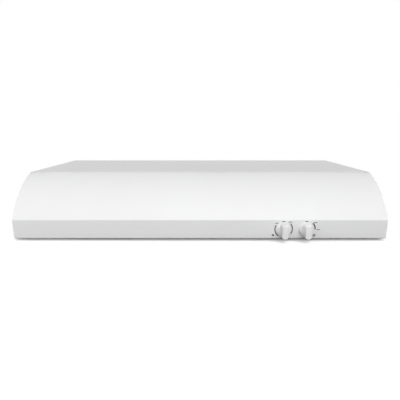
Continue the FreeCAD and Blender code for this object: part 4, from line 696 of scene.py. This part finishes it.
def mitred_channel(bm, start, end, inward, low, high):
    """One side of a filter's frame, from corner to corner, its ends cut at 45 degrees."""
    start, end = Vector(start), Vector(end)
    along = (end - start).normalized()
    middle = (start + end) / 2 + inward * RIM_WIDTH / 2
    length = (end - start).length
    turn = Matrix((along, inward, Vector((0, 0, 1)))).transposed().to_4x4()
    flat = Matrix.Translation((*middle.xy, low)) @ turn @ Matrix.Diagonal((length / 2, RIM_WIDTH / 2, 1, 1))
    grid = bmesh.ops.create_grid(bm, x_segments=1, y_segments=1, size=1.0, matrix=flat)["verts"]
    for v in grid:
        side = (v.co.xy - middle.xy).dot(along.xy)
        inner = (v.co.xy - middle.xy).dot(inward.xy) > 0
        v.co -= along * math.copysign((RIM_WIDTH if inner else 0.0) + MITRE_GAP, side)
    face = list({f for v in grid for f in v.link_faces})
    grown = bmesh.ops.extrude_face_region(bm, geom=face)["geom"]
    move(bm, [g for g in grown if isinstance(g, bmesh.types.BMVert)], z=high - low)
    block = {v for v in grid} | {g for g in grown if isinstance(g, bmesh.types.BMVert)}
    edges = {e for v in block for e in v.link_edges}
    lengthways = [e for e in edges if abs((e.verts[1].co - e.verts[0].co).dot(along)) > length / 3]
    round_edges(bm, lengthways, CHANNEL_EDGE, 3)


def rounded_block(bm, low, high, radius, segments=2):
    """Block between two corners with its edges rounded."""
    low, high = Vector(low), Vector(high)
    size = high - low
    place = Matrix.Translation((low + high) / 2) @ Matrix.Diagonal((*size, 1.0))
    verts = bmesh.ops.create_cube(bm, size=1.0, matrix=place)["verts"]
    round_edges(bm, list({e for v in verts for e in v.link_edges}), radius, segments)


def pin(bm, start, end, radius, chamfer):
    """Round pin with chamfered ends."""
    start, end = Vector(start), Vector(end)
    run = end - start
    place = Matrix.Translation((start + end) / 2) @ run.to_track_quat("Z", "Y").to_matrix().to_4x4()
    verts = bmesh.ops.create_cone(bm, cap_ends=True, segments=24, radius1=radius, radius2=radius,
                                  depth=run.length, matrix=place)["verts"]
    caps = {f for v in verts for f in v.link_faces if len(f.verts) > 4}
    round_edges(bm, list({e for f in caps for e in f.edges}), chamfer, 2)


def filter_frame(side):
    """Four mitred channels, the two hinge pins at the rear and the latch's guides."""
    node = "filter_frame_" + side
    lo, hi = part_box(node)
    mesh_lo, mesh_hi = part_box("filter_mesh_" + side)
    latch_lo, latch_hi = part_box("filter_latch_" + side)
    x0, x1 = mesh_lo.x - FRAME_SKIN, mesh_hi.x + FRAME_SKIN
    y0, y1 = mesh_lo.y - FRAME_SKIN, mesh_hi.y + FRAME_SKIN
    high = hi.z
    low = high - FRAME_THICK
    bm = bmesh.new()
    corners = [Vector(c) for c in ((x0, y0, 0), (x1, y0, 0), (x1, y1, 0), (x0, y1, 0))]
    centre = sum(corners, Vector()) / 4
    for a, b in zip(corners, corners[1:] + corners[:1]):
        across = (b - a).cross(Vector((0, 0, 1))).normalized()
        inward = across if across.dot(centre - a) > 0 else -across
        mitred_channel(bm, a, b, inward, low, high)
    pivot = Vector((0, y1 - PIN_BACK, (low + high) / 2))
    for x, out in ((lo.x, x0 + 0.5 * MM), (hi.x, x1 - 0.5 * MM)):
        pin(bm, (x, pivot.y, pivot.z), (out, pivot.y, pivot.z), PIN_R, 0.4 * MM)
    for edge, turn in ((latch_lo.x, -1), (latch_hi.x, 1)):
        wall = edge + turn * 0.1 * MM
        y_span = (y0 + 1.0 * MM, y0 + 9.0 * MM)
        xs = sorted((wall, wall + turn * GUIDE_WALL))
        rounded_block(bm, (xs[0], y_span[0], lo.z), (xs[1], y_span[1], low + 0.1 * MM), 0.12 * MM)
        xs = sorted((wall + turn * GUIDE_WALL, wall - turn * GUIDE_LIP))
        rounded_block(bm, (xs[0], y_span[0], lo.z), (xs[1], y_span[1], lo.z + GUIDE_WALL), 0.12 * MM)
    finish_piece("filter_channels_" + side, bm, FINISHES["filter_aluminium"], "filter_" + side,
                 (node,), 40.0)


def filter_foil(side):
    """Expanded foil over both faces of a filter: long diamond openings between thin strands."""
    lo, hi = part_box("filter_mesh_" + side)
    half = (hi - lo) / 2
    middle = (hi + lo) / 2
    inset = RIM_WIDTH - 1.4 * MM
    bm = bmesh.new()
    count = math.ceil(max(half.x / CELL[0], half.y / CELL[1]))
    lay = Matrix.Diagonal((CELL[0], CELL[1], 1, 1)) @ Matrix.Rotation(math.radians(45), 4, "Z")
    bmesh.ops.create_grid(bm, x_segments=2 * count, y_segments=2 * count, size=count * math.sqrt(2),
                          matrix=lay)
    for axis, reach in ((0, half.x - inset), (1, half.y - inset)):
        for way in (-1, 1):
            normal = Vector((0, 0, 0))
            normal[axis] = way
            bmesh.ops.bisect_plane(bm, geom=bm.verts[:] + bm.edges[:] + bm.faces[:], plane_co=normal * reach,
                                   plane_no=normal, clear_outer=True)
    openings = bm.faces[:]
    bmesh.ops.inset_individual(bm, faces=openings, thickness=STRAND, use_even_offset=True)
    bmesh.ops.delete(bm, geom=openings, context="FACES_ONLY")
    for v in bm.verts:
        v.co.z += FOIL_WAVE * math.sin(v.co.x / CELL[0] * 3.1 + v.co.y / CELL[1] * 1.7)
    top = bmesh.ops.duplicate(bm, geom=bm.faces[:])["geom"]
    rise = lo.z - FOIL_OUT - middle.z
    move(bm, bm.verts, x=middle.x, y=middle.y, z=lo.z - FOIL_OUT)
    move(bm, [g for g in top if isinstance(g, bmesh.types.BMVert)], z=-2 * rise)
    piece = finish_piece("filter_expanded_foil_" + side, bm, FINISHES["filter_aluminium"], "filter_" + side)
    wall = piece.modifiers.new("foil", "SOLIDIFY")
    wall.thickness = FOIL_WALL
    wall.offset = 0.0


def filter_latch(side):
    """Sliding latch with a rounded tongue and a finger edge turned down at the rear, ribbed for grip."""
    node = "filter_latch_" + side
    lo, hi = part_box(node)
    under = hi.z - LATCH_PLATE
    bm = bmesh.new()
    rounded_block(bm, (lo.x, lo.y, under), (hi.x, hi.y, hi.z), 0.35 * MM, 3)
    rounded_block(bm, (lo.x, hi.y - LATCH_PLATE, lo.z), (hi.x, hi.y, hi.z), 0.35 * MM, 3)
    for rib in range(4):
        y = hi.y - (4.0 + 2.6 * rib) * MM
        rounded_block(bm, (lo.x + 3 * MM, y, under - 0.4 * MM),
                      (hi.x - 3 * MM, y + 1.1 * MM, under + 0.2 * MM), 0.2 * MM)
    finish_piece("filter_slide_" + side, bm, FINISHES["spring_steel"], "latch_" + side,
                 (node,), 40.0)


def lens_ribs(side):
    """Fine prism ribs across the outer face of a lamp lens."""
    lo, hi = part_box("lamp_lens_" + side)
    bottom = lo.z + 0.05 * MM
    bm = bmesh.new()
    count = int((hi.x - lo.x - 2 * RIB_MARGIN) / RIB_PITCH)
    for rib in range(count + 1):
        x = lo.x + RIB_MARGIN + rib * RIB_PITCH
        rounded_block(bm, (x - RIB_PITCH * 0.3, lo.y + RIB_MARGIN, bottom - RIB_HEIGHT),
                      (x + RIB_PITCH * 0.3, hi.y - RIB_MARGIN, bottom), 0.5 * MM)
    finish_piece("lens_ribs_" + side, bm, FINISHES["lens_plastic"], "lens_" + side,
                 smooth=50.0)


for side in ("left", "right"):
    lens_ribs(side)
    filter_frame(side)
    filter_foil(side)
    filter_latch(side)


# ================================================================== welds and fixings that show
def weld_dimples():
    """Shallow spot weld marks along the laps at both ends of the shell."""
    centre = arc_centre()
    start = math.atan2(KINK - centre.z, FRONT - centre.y)
    end = math.atan2(SKIN - centre.z, CREASE - centre.y)
    lap = SIDE_WRAP / 2
    places = []
    for step in range(4):
        a = start + (end - start) * (step + 0.5) / 4
        reach = CURVE_RADIUS - lap
        places.append((centre.y + reach * math.cos(a), centre.z + reach * math.sin(a)))
    places.append(((FRONT + FOOT) / 2 + lap, (KINK + RIM) / 2))
    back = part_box("top_panel")[1].y
    for step in range(6):
        places.append((CREASE + 25 * MM + (back - CREASE - 50 * MM) * step / 5, -lap))
    bm = bmesh.new()
    for side in (-1, 1):
        for y, z in places:
            place = Matrix.Translation((side * (HALF + 0.02 * MM), y, z))
            place = place @ Matrix.Rotation(side * math.pi / 2, 4, "Y")
            ring = bmesh.ops.create_circle(bm, cap_ends=True, segments=20, radius=2.6 * MM, matrix=place)
            ring = ring["verts"]
            face = list({f for v in ring for f in v.link_faces})
            for thickness, depth in ((0.5 * MM, 0.10 * MM), (0.6 * MM, -0.06 * MM)):
                bmesh.ops.inset_region(bm, faces=face, thickness=thickness, depth=depth)
    finish_piece("weld_dimples", bm, FINISHES["white_enamel"], "shell", smooth=60.0)


weld_dimples()


# ================================================================== floor, light and camera
FLOOR_Z = -0.75              # floor, under the lowest reach of the open filters
FLOOR_END = 1.4              # floor behind the hood
FLOOR_GLOW = 2.2             # how bright the floor looks, past white
LEDGE_DROP = 8.0 * MM        # ledge below the rim
LEDGE_FRONT = 22.0 * MM      # ledge in front of the chin
LEDGE_BACK = 56.0 * MM       # ledge behind the chin's face
LEDGE_REACH = 10.0 * MM      # ledge beyond each end
LEDGE_SHADE = 0.97           # share of the shadow that the ledge shows
SURROUND = 0.14              # light that comes from all round
BACKDROP = 0.44              # added by the white backdrop behind the hood
SUNS = [                     # name, where it shines from, apparent size in degrees, strength
    ("key", (0.16, -0.95, 0.85), 55.0, 2.64),
    ("front_left", (-0.80, -0.60, 0.30), 60.0, 0.75),
    ("left", (-0.95, 0.25, 0.10), 30.0, 0.8),
    ("right", (0.95, 0.25, 0.10), 30.0, 0.6),
]


def surround():
    """White all round, weak as a light but for the backdrop low down behind the hood."""
    world = bpy.data.worlds.new("surround")
    air = Nodes(world)
    way = air.add("ShaderNodeSeparateXYZ", None, {0: air.add("ShaderNodeTexCoord")["Generated"]})
    behind = Wire(air, way[1]).band(0.15, 0.75) * (1.0 - Wire(air, way[2]).band(0.30, 0.75))
    seen = air.add("ShaderNodeBackground", None, {"Color": colour(1.0), "Strength": 1.0})[0]
    strength = behind * BACKDROP + SURROUND
    lit = air.add("ShaderNodeBackground", None, {"Color": colour(1.0), "Strength": strength})[0]
    air.add("ShaderNodeOutputWorld", None, {"Surface": air.seen_or_lit(seen, lit)})
    bpy.context.scene.world = world


def stage_sheet(name, look, low, high):
    """Flat sheet between two corners at one height, part of the stage."""
    bm = bmesh.new()
    middle, half = (low + high) / 2, (high - low) / 2
    place = Matrix.Translation(middle) @ Matrix.Diagonal((half.x, half.y, 1.0, 1.0))
    bmesh.ops.create_grid(bm, x_segments=1, y_segments=1, size=1.0, matrix=place)
    mesh = bpy.data.meshes.new(name)
    bm.to_mesh(mesh)
    bm.free()
    mesh.materials.append(look)
    sheet = bpy.data.objects.new(name, mesh)
    bpy.context.scene.collection.objects.link(sheet)
    return sheet


def floor():
    """Pale floor well below the open filters, evenly white to the eye, that throws a little light back."""
    pale = Finish("pale_floor")
    mottle = pale.noise(3.0)
    bright = pale.add("ShaderNodeEmission", None, {"Color": colour(1.0), "Strength": FLOOR_GLOW})[0]
    dull = pale.add("ShaderNodeBsdfDiffuse", None, {"Color": pale.blend(mottle, 0.20, 0.22)})[0]
    pale.add("ShaderNodeOutputMaterial", None, {"Surface": pale.seen_or_lit(bright, dull)})
    stage_sheet("floor", pale.material, Vector((-4, -4, FLOOR_Z)), Vector((4, FLOOR_END, FLOOR_Z)))


def ledge():
    """Narrow ledge close under the chin that shows nothing but the soft shadow it takes."""
    chalk = Finish("ledge_chalk")
    clear = chalk.add("ShaderNodeBsdfTransparent")[0]
    white = chalk.add("ShaderNodeBsdfDiffuse", None, {"Color": colour(0.2)})[0]
    shade = chalk.add("ShaderNodeMixShader", None, {0: LEDGE_SHADE, 1: clear, 2: white})[0]
    chalk.add("ShaderNodeOutputMaterial", None, {"Surface": shade})
    z = RIM - LEDGE_DROP
    low = Vector((-HALF - LEDGE_REACH, FRONT - LEDGE_FRONT, z))
    high = Vector((HALF + LEDGE_REACH, FRONT + LEDGE_BACK, z))
    stage_sheet("ledge", chalk.material, low, high).is_shadow_catcher = True


def suns():
    """Broad suns: the key over the hood, one from the front left and one at each end."""
    for name, source, spread, strength in SUNS:
        lamp = bpy.data.lights.new(name, "SUN")
        lamp.angle = math.radians(spread)
        lamp.energy = strength
        light = bpy.data.objects.new(name, lamp)
        light.rotation_euler = Vector(source).to_track_quat("Z", "Y").to_euler()
        bpy.context.scene.collection.objects.link(light)


SENSOR_WIDTH = 36.0          # millimetres, as is the focal length
FOCAL_LENGTH = 35.676
CAMERA_BACK = 0.935          # metres in front of the chin
CAMERA_UP = 0.2219           # metres above the chin's upper edge
CAMERA_TILT = math.radians(10.435)   # looking down


def camera():
    """The camera of the main view."""
    lens = bpy.data.cameras.new("camera")
    lens.sensor_width = SENSOR_WIDTH
    lens.lens = FOCAL_LENGTH
    lens.clip_start = 0.01
    holder = bpy.data.objects.new("camera", lens)
    holder.location = (0.0, FRONT - CAMERA_BACK, KINK + CAMERA_UP)
    holder.rotation_euler = (math.pi / 2 - CAMERA_TILT, 0.0, 0.0)
    bpy.context.scene.collection.objects.link(holder)
    bpy.context.scene.camera = holder
    bpy.context.scene.view_settings.view_transform = "Standard"


surround()
floor()
ledge()
suns()
camera()
